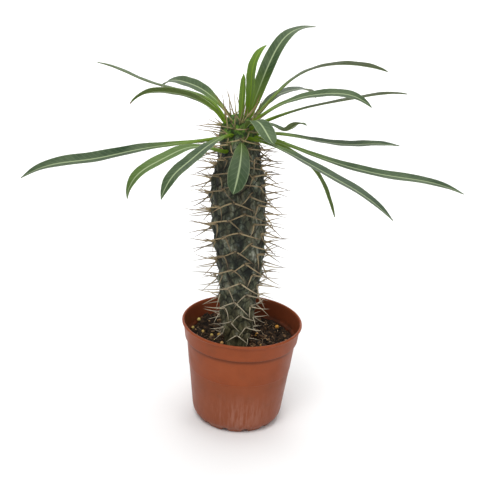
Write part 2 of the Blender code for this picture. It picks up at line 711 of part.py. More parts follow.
def build_all():
    """Build the pot, the soil, the stem and every leaf."""
    clear_scene()
    plastic = make_material("terracotta plastic", (0.42, 0.105, 0.045), 0.45)
    peat = make_material("peat", (0.022, 0.014, 0.010), 0.95)
    bark = make_material("grey green bark", (0.105, 0.110, 0.075), 0.80)
    blade = make_material("leaf", (0.060, 0.130, 0.050), 0.45)
    young_blade = make_material("young leaf", (0.150, 0.290, 0.030), 0.45)
    build_pot(plastic)
    build_soil(peat)
    leaf_paths = []
    for leaf in LEAVES:
        leaf_object = build_leaf(leaf, young_blade if leaf.young else blade)
        face_outward(leaf_object)
        leaf_paths.append(leaf_path(leaf))
    build_stem(bark, leaf_paths)


build_all()
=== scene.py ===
"""The looks of the potted madagascar palm: fine leaves, bark, spines, peat and moulded plastic.

Metres and degrees, +Z up, -Y to the front, in the same frame as the solids.
"""

import random
from collections import namedtuple
from itertools import chain, combinations
from math import asin, atan2, ceil, cos, degrees, exp, hypot, pi, radians, sin, sqrt, tan

import bpy
import numpy as np
from mathutils import Matrix, Vector, noise


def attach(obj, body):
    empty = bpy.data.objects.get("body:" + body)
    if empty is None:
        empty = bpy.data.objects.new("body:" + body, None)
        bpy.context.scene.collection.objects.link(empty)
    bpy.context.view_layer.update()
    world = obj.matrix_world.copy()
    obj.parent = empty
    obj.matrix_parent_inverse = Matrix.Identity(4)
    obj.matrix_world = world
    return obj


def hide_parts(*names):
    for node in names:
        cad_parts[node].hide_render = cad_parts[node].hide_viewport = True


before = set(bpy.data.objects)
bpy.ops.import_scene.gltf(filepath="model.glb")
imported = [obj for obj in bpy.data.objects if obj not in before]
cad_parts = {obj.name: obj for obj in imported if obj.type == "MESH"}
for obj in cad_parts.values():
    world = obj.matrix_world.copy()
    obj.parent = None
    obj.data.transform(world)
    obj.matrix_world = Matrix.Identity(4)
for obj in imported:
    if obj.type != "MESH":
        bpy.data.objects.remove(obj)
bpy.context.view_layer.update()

scene = bpy.context.scene
FULL_TURN = 2 * pi
# Radians in one cycle of a leaf's waves, and in a crumb's largest turn
CYCLE = 6.28

# Camera: fitted to the pot's rim, collar and foot
CAMERA_DISTANCE = 1.100
CAMERA_HEIGHT = 0.6440
CAMERA_PITCH = 22.34
CAMERA_YAW = -0.38
CAMERA_ROLL = 3.66
CAMERA_LENS = 91.68
SENSOR_WIDTH = 36.0

# A RANGE goes from where something is still nothing to where it is full

# Pot
POT_SIDES = 240
RIM_RADIUS = 0.060
POT_HEIGHT = 0.106
LIP_HEIGHT = 0.0030
COLLAR_HEIGHT = 0.0180
COLLAR_TOP_RADIUS = 0.0582
COLLAR_FOOT_RADIUS = 0.0564
WALL_TOP_RADIUS = 0.0545
WALL_FOOT_RADIUS = 0.0450
WALL_FOOT_HEIGHT = 0.0090
WALL_THICKNESS = 0.0012
FLOOR_THICKNESS = 0.0014
RING_HEIGHT = 0.0580
RING_STEP = 0.0004
FOOT_OUTER_RADIUS = 0.0388
FOOT_INNER_RADIUS = 0.0348
FLOOR_LIFT = 0.0030
FLOOR_SLOPE = 0.0022
PAD_RADIUS = 0.0140
FOOT_LOBES = 12
FOOT_NOTCH = 0.0030
FOOT_NOTCH_DEPTH = 0.0022
DRAIN_HOLES = 6
DRAIN_CIRCLE = 0.0250
DRAIN_RADIUS = 0.0040
DRAIN_SIDES = 32
PROFILE_STEP = 0.004
NOTCH_RANGE = (0.0040, 0.0002)
RIM_SWAY = 0.00022
SWAY_RANGE = (0.05, POT_HEIGHT)
SCUFF_RANGE = (0.050, 0.020)
SCUFF_EVERYWHERE = 0.08
SCUFF_FOCUS = 14
SCUFF_TURN = 0.1
STAIN_RANGE = (0.094, 0.084)

# Soil
SOIL_TOP = 0.0830
SOIL_SIDES = 200
SOIL_RINGS = 60
SOIL_LUMP = 0.0013
BACK_RISE = 0.0026
BACK_RANGE = (0.002, 0.034)
HEAP_X = -0.034
HEAP_Y = 0.031
HEAP_HEIGHT = 0.0085
HEAP_SPREAD = 0.0095
CALM_RADIUS = 0.016
CALM_WIDTH = 0.008
SOIL_FINE = 0.0009
SOIL_GAP = 0.0002
SOIL_BOTTOM_GAP = 0.0003
SOIL_BOTTOM_RADIUS = 0.030
STEM_CLEARANCE = 0.0130
CRUMB_COUNT = 1500
CRUMB_SEED = 5
CRUMB_MARGIN = 0.0012
CRUMB_SIZE = 0.0004
CRUMB_SPREAD = 0.0017
CRUMB_FLATNESS = 0.8
FLAKE_COUNT = 210
FLAKE_SEED = 11
FLAKE_MARGIN = 0.0040
FLAKE_LENGTH = 0.0018
FLAKE_SPREAD = 0.0072
FLAKE_WIDTHS = (0.25, 0.6)
FLAKE_THICKNESSES = (0.0004, 0.0009)
FLAKE_TILT = 24
FLAKE_LEAN = 18
FLAKE_SIDES = 7
FIBRE_COUNT = 64
FIBRE_SEED = 17
FIBRE_MARGIN = 0.0070
FIBRE_STATIONS = 12
FIBRE_SIDES = 5
FIBRE_STEPS = (0.0004, 0.0011)
FIBRE_RADII = (0.00010, 0.00022)
FIBRE_BEND = 0.28
FIBRE_LIFT = 0.0004
FIBRE_ARCH = 0.0008
GRAIN_COUNT = 16
GRAIN_SEED = 23
GRAIN_MARGIN = 0.0050
GRAIN_SIZES = (0.0006, 0.0012)
GRAIN_RINGS = 8
GRAIN_SIDES = 12
# x, y, size and tint of the grains that lie in clear view
PLACED_GRAINS = ((-0.0444, 0.0290, 0.0019, 0.05), (-0.0495, 0.0160, 0.0015, 0.10),
                 (-0.0388, 0.0073, 0.0015, 0.20), (-0.0297, 0.0084, 0.0016, 0.10),
                 (-0.0225, 0.0072, 0.0018, 0.30), (-0.0187, -0.0102, 0.0017, 0.75),
                 (0.0361, 0.0290, 0.0020, 0.50), (0.0159, 0.0129, 0.0015, 0.60))

# Stem
STEM_SIDES = 224
STEM_FOOT = 0.0553
STEM_NECK = 0.0860
STEM_Y = -0.0040
STEM_AXIS_X = ((0.050, -0.0042), (0.080, -0.0042), (0.086, -0.0042), (0.125, -0.0059),
               (0.165, -0.0055), (0.210, -0.0098), (0.250, -0.0130), (0.268, -0.0126),
               (0.285, -0.0132), (0.300, -0.0148), (0.320, -0.0160))
STEM_RADIUS = ((0.050, 0.0120), (0.080, 0.0120), (0.086, 0.0120), (0.094, 0.0133),
               (0.108, 0.0152), (0.130, 0.0175), (0.158, 0.0203), (0.193, 0.0238),
               (0.218, 0.0253), (0.250, 0.0251), (0.268, 0.0213), (0.285, 0.0179),
               (0.300, 0.0164), (0.309, 0.0139), (0.315, 0.0102), (0.3185, 0.0055))
STEM_TOP = 0.3195
STEM_RINGS = 330
NORMAL_STEP = 0.0015
NECK_OVERLAP = 0.006
DOME_START = 0.300
DOME_END = 0.3192
DOME_RINGS = 34
WRINKLE_DEPTH = 0.00034
RIDGE_DEPTH = 0.00140
CREASE_WIDTH = 0.0026
CREASE_DEPTH = 0.0009
CREASE_RANGE = (0.0035, 0.0065)
HUB_RADIUS = 0.0016
HUB_HEIGHT = 0.0006
SCAR_LIFT = 0.0030
SCAR_HALF_WIDTH = 0.0013
SCAR_HALF_HEIGHT = 0.0009
SCAR_DEPTH = 0.00025
SCAR_RANGE = (0.300, 0.250)
EARTHY_RANGE = (0.150, 0.095)
GREEN_RANGE = (0.288, 0.306)

# Tubercles and spines
TURN_PER_TUBERCLE = -137.6
FIRST_AZIMUTH = 292.0
FIRST_TUBERCLE = 0.0823
LOWEST_TUBERCLE = 0.0900
HIGHEST_TUBERCLE = 0.3180
TUBERCLE_RISE = 0.001888
TUBERCLE_CLOSING = 0.00000258
TUBERCLE_HEIGHT = 0.0020
TUBERCLE_SPREAD = 0.0050
TUBERCLE_REACH = 0.030
MOST_OVERLAP = 1.2
FOOT_FADE = 0.010
CROWN_FADE = 0.020
LEAST_FADE = 0.25
SPINE_ROOT_OFFSET = 0.0013
SPINE_LENGTH = 0.0280
FOOT_SPINE_LENGTH = 0.0130
GROWTH_RANGE = (0.1000, 0.1600)
CROWN_RANGE = (0.3080, 0.3170)
TUFT_SPINES = 16
TUFT_LOW = 0.3085
TUFT_HIGH = 0.3160
TUFT_RISES = (50.0, 80.0)
TUFT_LENGTHS = (0.026, 0.034)
STEEPEST_SPINE = 84.0
LEAST_OUTWARD = 0.35
SPINE_SPREAD = 49.0
SPREAD_VARIATION = 9.0
SPINE_LIFT = -6.0
LIFT_VARIATION = 8.0
CROWN_SPINE_LIFT = 45.0
NORMAL_RISE_SHARE = 0.4
SPINE_SEED = 21
TUFT_SEED = 5
SPINE_TO_LEAF = 0.0011
SPINE_TO_SOIL = 0.0040
SPINE_SIDES = 6
SPINE_RINGS = 8
SPINE_BASE_RADIUS = 0.00080
SPINE_BOW_SEED = 31
SPINE_BOW = 0.075
SPINE_SINK = 0.0022
SPINE_SWELLING = 0.45
SPINE_SWELLING_AT = 0.0020
SPINE_SWELLING_SPREAD = 0.0016
SPINE_TIP = 0.06
SHORT_SPINE_RISE = 0.0009
SHORT_SPINE_LIFT = 24.0
SHORT_LIFT_VARIATION = 9
SHORT_TURN_VARIATION = 16
SHORT_SIZES = (0.32, 0.62)
LONG_SIZES = (0.88, 1.12)
TUFT_STRAY = 15
TUFT_TURN_VARIATION = 25
OLD_RANGE = (0.175, 0.110)
FRESH_RANGE = (0.292, 0.312)

# Leaves
LEAF_SEAT_GAP = 0.0005
LEAF_STUB = 0.0022
PATH_STATIONS = 11
PATH_PARTS = 4
INTEGRATION_STEPS = 8
PETIOLE_HALF_WIDTH = 0.0013
TIP_START = 0.86
TIP_SHARE = 0.06
ROLL_SHARE = 0.15
LEAF_STATIONS = 72
LEAF_COLUMNS = 18
LEAF_SINK = 0.0012
ROOT_SWELLING = 1.35
FULL_BLADE = 0.004
EDGE_THICKNESS = 0.00028
STALK_EDGE = 0.00032
STALK_BODY = 0.0007
TIP_THINNING = 0.75
THINNING_START = 0.84
EDGE_WAVE = 0.00018
WAVE_BEATS = (4.0, 6.5)
SIDE_LAG = 1.7
FOLD_CURVE = 1.25
GROOVE_DEPTH = 0.00040
GROOVE_WIDTH = 0.0007
KEEL_DEPTH = 0.00085
KEEL_WIDTH = 0.0008
VEIN_RELIEF = 0.00004
VEIN_SPACING = 0.0052
VEIN_SLANT = 1.6
LEAF_SEED = 3
LONGEST_BRIGHT_LEAF = 0.100
WITHERED_TIPS = {"leaf_06": 0.085, "leaf_11": 0.100, "leaf_05": 0.040}
LEAF_TONES = {"leaf_02": 0.80, "leaf_05": 0.55, "leaf_04": 0.35, "leaf_17": 0.60, "leaf_16": 0.0,
              "leaf_03": 0.15, "leaf_07": 1.0, "leaf_08": 1.0, "leaf_09": 0.20}
BLADE_OUTLINE = ((0.00, 0.00), (0.10, 0.06), (0.25, 0.42), (0.42, 0.80), (0.60, 1.00),
                 (0.76, 0.96), (0.88, 0.72), (0.95, 0.42), (1.00, 0.00))
SHORT_OUTLINE = ((0.00, 0.10), (0.13, 0.50), (0.38, 0.85), (0.58, 1.00), (0.80, 0.83),
                 (0.93, 0.44), (1.00, 0.00))
LONGEST_SHORT_LEAF = 0.062
YOUNG_OUTLINE = ((0.00, 0.45), (0.20, 0.85), (0.40, 1.00), (0.62, 0.92), (0.82, 0.62),
                 (0.94, 0.28), (1.00, 0.00))

# Azimuth and height of a leaf's seat on the stem, its length, its rise at the foot, quarter,
# middle, three quarters and tip, its sweep (change of azimuth to the tip), width, roll and fold
LEAF_SIZES = (
    (190, 0.296, 0.187, (-10, -9, -15, -9, -36), -4, 0.020, -11, 16),
    (234, 0.288, 0.132, (20, 16, -14, -26, -92), -26, 0.015, -6, 12),
    (250, 0.304, 0.131, (12, 1, -12, -17, -68), -14, 0.0165, 7, 8),
    (154, 0.312, 0.155, (56, 5, 2, 11, -3), -6, 0.010, 15, 12),
    (205, 0.313, 0.105, (54, 32, 15, -1, -50), -1, 0.013, 40, 12),
    (134, 0.314, 0.103, (30, 20, 4, -8, -50), 5, 0.017, -14, 12),
    (284, 0.3175, 0.042, (86, 88, 90, 88, 84), 0, 0.006, 0, 20),
    (38, 0.316, 0.071, (87, 87, 91, 62, 18), 8, 0.0125, 0, 15),
    (61, 0.311, 0.144, (50, 56, 44, 7, -11), -8, 0.016, 0, 10),
    (33, 0.311, 0.172, (49, 37, 7, -9, -19), 0, 0.016, -24, 12),
    (66, 0.303, 0.140, (20, 19, -1, -8, -48), -14, 0.015, -2, 12),
    (-12, 0.313, 0.120, (48, 31, 17, 1, -40), 0, 0.016, 12, 10),
    (17, 0.308, 0.153, (26, 15, 9, 8, -7), 0, 0.016, -22, 12),
    (11, 0.301, 0.138, (4, -11, -8, 3, -9), -1, 0.016, 3, 10),
    (-9, 0.303, 0.199, (-16, -16, -9, -3, -22), 5, 0.018, 6, 10),
    (-58, 0.302, 0.180, (13, -1, -9, -14, -36), 30, 0.020, -9, 10),
    (-26, 0.301, 0.112, (0, -16, -34, -62, -66), 5, 0.014, -38, 12),
    (-60, 0.312, 0.059, (41, 23, -14, -25, -12), -4, 0.018, 0, 8),
    (-40, 0.310, 0.066, (40, 15, -13, 45, -22), 8, 0.014, -15, 12),
    (278, 0.297, 0.050, (-20, -50, -60, -62, -60), -38, 0.020, 0, 5),
    (97, 0.303, 0.120, (5, -35, -62, -75, -80), 2, 0.016, 0, 10),
    (80, 0.294, 0.105, (-5, -45, -68, -78, -82), -8, 0.017, 0, 10),
)
YOUNG_LEAVES = (7, 8, 9)
Leaf = namedtuple("Leaf", "name young azimuth height length rise sweep width roll fold")
LEAVES = [Leaf(f"leaf_{number:02d}", number in YOUNG_LEAVES, *sizes)
          for number, sizes in enumerate(LEAF_SIZES, start=1)]


# Shared maths


def curve_value(points, at):
    """Read a smooth curve through (position, value) points."""
    if at <= points[0][0]:
        return points[0][1]
    if at >= points[-1][0]:
        return points[-1][1]
    index = max(i for i in range(len(points) - 1) if points[i][0] <= at)

    def slope(i):
        before, after = points[max(i - 1, 0)], points[min(i + 1, len(points) - 1)]
        return (after[1] - before[1]) / (after[0] - before[0])

    (low, first), (high, last) = points[index], points[index + 1]
    span = high - low
    t = (at - low) / span
    rise_in = slope(index) * span
    rise_out = slope(index + 1) * span
    return ((2 * t**3 - 3 * t**2 + 1) * first + (t**3 - 2 * t**2 + t) * rise_in
            + (3 * t**2 - 2 * t**3) * last + (t**3 - t**2) * rise_out)


def share_between(low, high, at):
    """How far a value has come from low to high, from 0 to 1."""
    return min(1.0, max(0.0, (at - low) / (high - low)))


def smooth_step(low, high, at):
    """The same for an array, with soft ends."""
    t = np.clip((at - low) / (high - low), 0.0, 1.0)
    return t * t * (3.0 - 2.0 * t)


def heading(azimuth, rise):
    """The direction at an azimuth and a rise."""
    return Vector((cos(rise) * cos(azimuth), cos(rise) * sin(azimuth), sin(rise)))


def sideways_at(azimuth):
    """The level direction square to an azimuth."""
    return Vector((-sin(azimuth), cos(azimuth), 0.0))


def ride_as(piece, slot, *replaced):
    """Put a finished piece on the body and hide the solids it stands for."""
    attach(piece, "root")
    if replaced:
        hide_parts(*replaced)
    return piece


def make_object(name, points, faces, material, attributes=None):
    """A smooth mesh object from an array of points, faces and values at its points."""
    mesh = bpy.data.meshes.new(name)
    mesh.from_pydata(np.asarray(points, dtype=float).tolist(), [], faces)
    mesh.update()
    mesh.shade_smooth()
    for key, values in (attributes or {}).items():
        layer = mesh.attributes.new(key, "FLOAT", "POINT")
        layer.data.foreach_set("value", np.asarray(values, dtype=np.float32))
    mesh.materials.append(material)
    thing = bpy.data.objects.new(name, mesh)
    scene.collection.objects.link(thing)
    return thing


def turns(sides):
    """Evenly spaced angles round a circle."""
    return [FULL_TURN * side / sides for side in range(sides)]


def grid_faces(rings, sides):
    """Quads between closed rings of points."""
    faces = []
    for low in range(0, (rings - 1) * sides, sides):
        high = low + sides
        for index in range(sides):
            after = (index + 1) % sides
            faces.append((low + index, low + after, high + after, high + index))
    return faces


def closed_faces(rings, sides):
    """The same, with a face across the first ring and across the last."""
    last = (rings - 1) * sides
    return grid_faces(rings, sides) + [tuple(reversed(range(sides))),
                                       tuple(range(last, last + sides))]


def pole_faces(sides, low_pole, low_ring, high_pole, high_ring):
    """Triangles from each pole to the ring of points that starts beside it."""
    faces = []
    for side in range(sides):
        after = (side + 1) % sides
        faces.append((low_pole, low_ring + after, low_ring + side))
        faces.append((high_pole, high_ring + side, high_ring + after))
    return faces


class Parts:
    """Collects many small shapes, with values at their points, into one mesh."""

    def __init__(self):
        self.points, self.faces, self.values = [], [], {}

    def add(self, points, faces, **values):
        start = len(self.points)
        self.points.extend(tuple(point) for point in points)
        self.faces.extend(tuple(start + i for i in face) for face in faces)
        for key, value in values.items():
            spread = value if hasattr(value, "__len__") else [value] * len(points)
            self.values.setdefault(key, []).extend(spread)

    def build(self, name, material):
        return make_object(name, self.points, self.faces, material, self.values)


# Colours and materials

PLASTIC_DARK = (0.218, 0.050, 0.016)
PLASTIC = (0.252, 0.057, 0.018)
PLASTIC_LIGHT = (0.284, 0.067, 0.022)
PLASTIC_FADED = (0.215, 0.062, 0.028)
COLLAR_SHADE = (0.085, 0.022, 0.008)
SCUFF = (0.43, 0.22, 0.165)
GRIME = (0.12, 0.05, 0.028)
# Painted shade for the inside of the pot's wall
PLASTIC_INSIDE_SHADE = (0.115, 0.030, 0.014)
SOIL_STAIN = (0.022, 0.014, 0.009)
PEAT_CHIP = (0.170, 0.096, 0.048)
PEAT_COLOURS = ((0.003, 0.002, 0.001), (0.060, 0.033, 0.016))
CRUMB_COLOURS = ((0.004, 0.002, 0.001), (0.110, 0.062, 0.030))
FLAKE_COLOURS = ((0.035, 0.018, 0.009), (0.140, 0.075, 0.034), (0.400, 0.250, 0.120))
FIBRE_COLOURS = ((0.220, 0.130, 0.070), (0.620, 0.480, 0.310))
GRAIN_COLOURS = ((0.560, 0.470, 0.150), (0.780, 0.370, 0.060), (0.440, 0.290, 0.160))
BARK_BLACK = (0.004, 0.007, 0.004)
BARK_DARK = (0.022, 0.028, 0.016)
BARK_OLIVE = (0.085, 0.094, 0.058)
BARK_PALE = (0.260, 0.270, 0.215)
BARK_EARTHY = (0.105, 0.078, 0.042)
BARK_BLUISH = (0.120, 0.150, 0.140)
FOOT_DARK = (0.050, 0.047, 0.020)
FOOT_PALE = (0.190, 0.172, 0.085)
CROWN_DARK = (0.008, 0.022, 0.004)
CROWN_GREEN = (0.040, 0.100, 0.008)
CROWN_PALE = (0.110, 0.215, 0.020)
CROWN_DRY = (0.150, 0.095, 0.045)
# Painted shade laid in the creases between tubercles
PAINTED_CREASE_SHADE = (0.005, 0.006, 0.004)
SPINE_SEAT = (0.100, 0.070, 0.042)
LEAF_SCAR = (0.210, 0.220, 0.185)
LEAF_FRESH = (0.105, 0.175, 0.035)
LEAF_WITHERED = (0.140, 0.075, 0.030)
GROWN_LEAF = {"dark": (0.013, 0.032, 0.016), "light": (0.068, 0.098, 0.054),
              "under": (0.078, 0.100, 0.022), "rib": (0.400, 0.480, 0.270),
              "glow": (0.130, 0.220, 0.008)}
YOUNG_LEAF = {"dark": (0.060, 0.135, 0.004), "light": (0.135, 0.235, 0.006),
              "under": (0.110, 0.190, 0.004), "rib": (0.220, 0.350, 0.016),
              "glow": (0.110, 0.210, 0.002)}


class Nodes:
    """Short calls for building a node material."""

    def __init__(self, name, roughness, gloss=0.3):
        self.material = bpy.data.materials.new(name)
        self.material.use_nodes = True
        self.tree = self.material.node_tree
        self.shader = self.tree.nodes["Principled BSDF"]
        self.shader.inputs["Roughness"].default_value = roughness
        self.shader.inputs["Specular IOR Level"].default_value = gloss

    def link(self, value, socket):
        """Feed a socket from another node, or set it to a number, a vector or a colour."""
        if isinstance(value, bpy.types.NodeSocket):
            self.tree.links.new(value, socket)
        else:
            socket.default_value = (*value, 1.0) if socket.type == "RGBA" else value

    def add(self, kind, output, inputs, **settings):
        """An output of a new node, with its inputs set or fed."""
        node = self.tree.nodes.new("ShaderNode" + kind)
        for key, value in settings.items():
            setattr(node, key, value)
        for key, value in inputs.items():
            self.link(value, node.inputs[key])
        return node.outputs[output]

    def value(self, key):
        return self.add("Attribute", "Fac", {}, attribute_name=key)

    def place(self, scale=(1.0, 1.0, 1.0)):
        where = self.add("TexCoord", "Object", {})
        return self.add("Mapping", "Vector", {"Vector": where, "Scale": scale})

    def noise(self, scale, detail=3.0, roughness=0.5, stretch=(1.0, 1.0, 1.0), distortion=0.0):
        return self.add("TexNoise", "Fac", {"Vector": self.place(stretch), "Scale": scale,
                                            "Detail": detail, "Roughness": roughness,
                                            "Distortion": distortion})

    def cells(self, scale):
        return self.add("TexVoronoi", "Distance", {"Vector": self.place(), "Scale": scale})

    def mix(self, share, first, second, blend="MIX"):
        return self.add("Mix", 2, {"Factor": share, 6: first, 7: second},
                        data_type="RGBA", blend_type=blend)

    def math(self, kind, first, second=0.0):
        return self.add("Math", 0, {0: first, 1: second}, operation=kind)

    def bump(self, height, strength, distance):
        return self.add("Bump", "Normal", {"Height": height, "Strength": strength,
                                           "Distance": distance})

    def ramp(self, value, stops):
        """Colours or grey levels along a value: stops are (position, colour)."""
        node = self.tree.nodes.new("ShaderNodeValToRGB")
        bar = node.color_ramp
        while len(bar.elements) < len(stops):
            bar.elements.new(0.5)
        for element, (position, colour) in zip(bar.elements, stops):
            element.position = position
            element.color = (*(colour if isinstance(colour, tuple) else (colour,) * 3), 1.0)
        self.link(value, node.inputs["Fac"])
        return node.outputs["Color"]

    def patches(self, stops, *look, **more):
        """A ramp along noise."""
        return self.ramp(self.noise(*look, **more), stops)

    def lay(self, base, colour, strength, mask):
        """Lay a colour over the base where the mask is, as strongly as told."""
        return self.mix(self.math("MULTIPLY", mask, strength), base, colour)

    def finish(self, colour, normal=None, roughness=None):
        """Connect what varies over the surface and hand over the material."""
        for value, key in ((colour, "Base Color"), (normal, "Normal"), (roughness, "Roughness")):
            if value is not None:
                self.link(value, self.shader.inputs[key])
        return self.material


def plastic_material():
    """Terracotta-coloured moulded plastic: soft mottling, a shaded collar, pale scuffs low down."""
    n = Nodes("pot_plastic", 0.42, 0.14)
    base = n.patches(((0.30, PLASTIC_DARK), (0.52, PLASTIC), (0.75, PLASTIC_LIGHT)), 26.0, 4.0, 0.6)
    level = n.value("level")
    faded = n.ramp(level, ((0.28, 0.55), (0.52, 0.45), (0.56, 0.0)))
    base = n.mix(faded, base, PLASTIC_FADED)
    shade = n.ramp(level, ((0.785, 0.0), (0.812, 0.62), (0.828, 0.55), (0.836, 0.0)))
    base = n.mix(shade, base, COLLAR_SHADE)
    streak = n.noise(34.0, 5.0, 0.62, stretch=(9.0, 9.0, 0.45), distortion=0.10)
    scuff = n.math("MULTIPLY", n.value("scuff"), n.ramp(streak, ((0.42, 0.12), (0.62, 1.0))))
    base = n.lay(base, SCUFF, 0.42, scuff)
    base = n.lay(base, GRIME, 0.20, n.patches(((0.52, 0.0), (0.72, 1.0)), 75.0, 5.0, 0.7))
    # Painted shade: the inside of the wall is laid darker
    base = n.lay(base, PLASTIC_INSIDE_SHADE, 0.45, n.value("inner"))
    stain = n.patches(((0.40, 0.15), (0.62, 1.0)), 150.0, 5.0, 0.7)
    base = n.lay(base, SOIL_STAIN, stain, n.value("soiled"))
    relief = n.math("ADD", n.noise(420.0), n.math("MULTIPLY", streak, 0.8))
    return n.finish(base, n.bump(relief, 0.10, 0.0005),
                    n.patches(((0.3, 0.34), (0.7, 0.52)), 60.0, 4.0))


def peat_material(name, dark, light):
    """Damp dark peat."""
    n = Nodes(name, 0.95)
    grain = n.noise(260.0, 6.0, 0.7)
    between = tuple(0.35 * a + 0.65 * b for a, b in zip(dark, light))
    base = n.ramp(grain, ((0.42, dark), (0.60, between), (0.74, light)))
    base = n.lay(base, PEAT_CHIP, 0.8, n.ramp(n.value("tint"), ((0.70, 0.0), (0.90, 1.0))))
    return n.finish(base, n.bump(n.math("ADD", grain, n.cells(500.0)), 0.55, 0.0012))


def speckle_material(name, colours, roughness=0.8):
    """Bark flakes, fibres and grains, each with its own tint from a value at its points."""
    n = Nodes(name, roughness)
    base = n.ramp(n.value("tint"), [(i / (len(colours) - 1), c) for i, c in enumerate(colours)])
    grain = n.noise(700.0, 4.0, 0.6)
    shade = n.ramp(grain, ((0.3, 0.72), (0.7, 1.12)))
    return n.finish(n.mix(1.0, base, shade, "MULTIPLY"), n.bump(grain, 0.30, 0.0004))


def bark_material():
    """Dull grey-green succulent skin: olive facets, painted shade in the creases, pale scars, green
    crown.
    """
    n = Nodes("bark", 0.78)
    broad = n.noise(85.0, 6.0, 0.68, stretch=(1.0, 1.0, 0.42), distortion=0.6)
    base = n.ramp(broad, ((0.38, BARK_BLACK), (0.46, BARK_DARK), (0.55, BARK_OLIVE),
                          (0.66, BARK_PALE)))
    earthy = n.patches(((0.52, 0.0), (0.68, 1.0)), 95.0, 4.0, 0.6, stretch=(1.0, 1.0, 0.5))
    base = n.lay(base, BARK_EARTHY, 0.55, earthy)
    base = n.lay(base, BARK_BLUISH, 0.40, n.patches(((0.56, 0.0), (0.72, 1.0)), 120.0, 4.0, 0.6))
    foot = n.patches(((0.35, FOOT_DARK), (0.65, FOOT_PALE)), 90.0, 4.0, 0.6)
    base = n.lay(base, foot, 0.75, n.value("foot"))
    crown = n.patches(((0.38, CROWN_DARK), (0.50, CROWN_GREEN), (0.64, CROWN_PALE)),
                      210.0, 4.0, 0.6)
    crown = n.lay(crown, CROWN_DRY, 0.65, n.patches(((0.56, 0.0), (0.62, 1.0)), 260.0, 4.0, 0.6))
    base = n.mix(n.value("crown"), base, crown)
    lines = n.noise(300.0, 4.0, 0.7, stretch=(1.0, 1.0, 0.30))
    base = n.mix(0.85, base, n.ramp(lines, ((0.36, 0.30), (0.50, 0.80), (0.62, 1.65))), "MULTIPLY")
    # The crease mask lays painted shade: near-black where the tubercles meet
    for key, colour, strength in (("crease_and_shade", PAINTED_CREASE_SHADE, 0.72), ("hub", SPINE_SEAT, 0.60),
                                  ("scar", LEAF_SCAR, 0.45)):
        base = n.lay(base, colour, strength, n.value(key))
    relief = n.math("ADD", lines, n.math("MULTIPLY", n.noise(520.0, 5.0, 0.7), 0.7))
    return n.finish(base, n.bump(relief, 0.55, 0.0009), n.ramp(broad, ((0.3, 0.62), (0.7, 0.86))))


def spine_material():
    """Tan spines, darker towards the tip; those near the foot are old and pale."""
    n = Nodes("spines", 0.55)
    along = n.value("along")
    base = n.ramp(along, ((0.00, (0.150, 0.090, 0.045)), (0.14, (0.300, 0.235, 0.135)),
                          (0.50, (0.270, 0.205, 0.115)), (0.78, (0.125, 0.082, 0.045)),
                          (1.00, (0.030, 0.016, 0.012))))
    old = n.ramp(along, ((0.00, (0.300, 0.250, 0.160)), (0.25, (0.560, 0.500, 0.370)),
                         (0.85, (0.500, 0.430, 0.310)), (1.00, (0.200, 0.140, 0.090))))
    fresh = n.ramp(along, ((0.00, (0.180, 0.170, 0.060)), (0.40, (0.290, 0.240, 0.120)),
                           (0.80, (0.200, 0.120, 0.055)), (1.00, (0.060, 0.022, 0.012))))
    base = n.mix(n.value("old"), base, old)
    base = n.mix(n.value("fresh"), base, fresh)
    shade = n.ramp(n.value("tint"), ((0.0, 0.70), (1.0, 1.28)))
    return n.finish(n.mix(1.0, base, shade, "MULTIPLY"), n.bump(n.noise(900.0), 0.25, 0.0003))


def leaf_material(name, dark, light, under, rib, glow):
    """A smooth leaf: pale midrib, faint side veins, a bright stalk and a paler underside."""
    n = Nodes(name, 0.48, 0.14)
    across = n.math("ABSOLUTE", n.value("across"))
    along = n.value("along")
    cloud = n.noise(48.0, 4.0, 0.55)
    lower = n.lay(under, light, 0.5, cloud)
    base = n.mix(n.value("upper"), lower, n.ramp(cloud, ((0.30, dark), (0.70, light))))
    base = n.lay(base, LEAF_FRESH, 0.75, n.value("tone"))
    slant = n.math("SUBTRACT", n.math("MULTIPLY", along, n.value("veins")),
                   n.math("MULTIPLY", across, VEIN_SLANT))
    wave = n.math("SINE", n.math("MULTIPLY", slant, FULL_TURN))
    vein = n.ramp(wave, ((0.72, 0.0), (1.0, 1.0)))
    base = n.lay(base, rib, 0.06, vein)
    flecks = n.patches(((0.35, 0.86), (0.68, 1.12)), 420.0, 5.0, 0.7)
    base = n.mix(0.7, base, flecks, "MULTIPLY")
    base = n.lay(base, rib, 0.35, n.ramp(across, ((0.90, 0.0), (1.0, 1.0))))
    base = n.lay(base, rib, 0.64, n.ramp(across, ((0.045, 1.0), (0.120, 0.0))))
    stalk = n.ramp(along, ((0.04, 1.0), (0.20, 0.5), (0.38, 0.0)))
    base = n.lay(base, glow, 0.90, n.math("MULTIPLY", stalk, n.value("stalk")))
    base = n.mix(n.ramp(n.value("brown"), ((0.25, 0.0), (0.75, 1.0))), base, LEAF_WITHERED)
    relief = n.math("ADD", n.math("MULTIPLY", vein, 0.5), n.noise(500.0, 4.0, 0.6))
    return n.finish(base, n.bump(relief, 0.16, 0.0005), n.ramp(cloud, ((0.3, 0.38), (0.7, 0.54))))


# Pot


def wall_radius(height):
    """The wall's outer radius below its collar."""
    share = (height - WALL_FOOT_HEIGHT) / (POT_HEIGHT - COLLAR_HEIGHT - WALL_FOOT_HEIGHT)
    return WALL_FOOT_RADIUS + share * (WALL_TOP_RADIUS - WALL_FOOT_RADIUS)


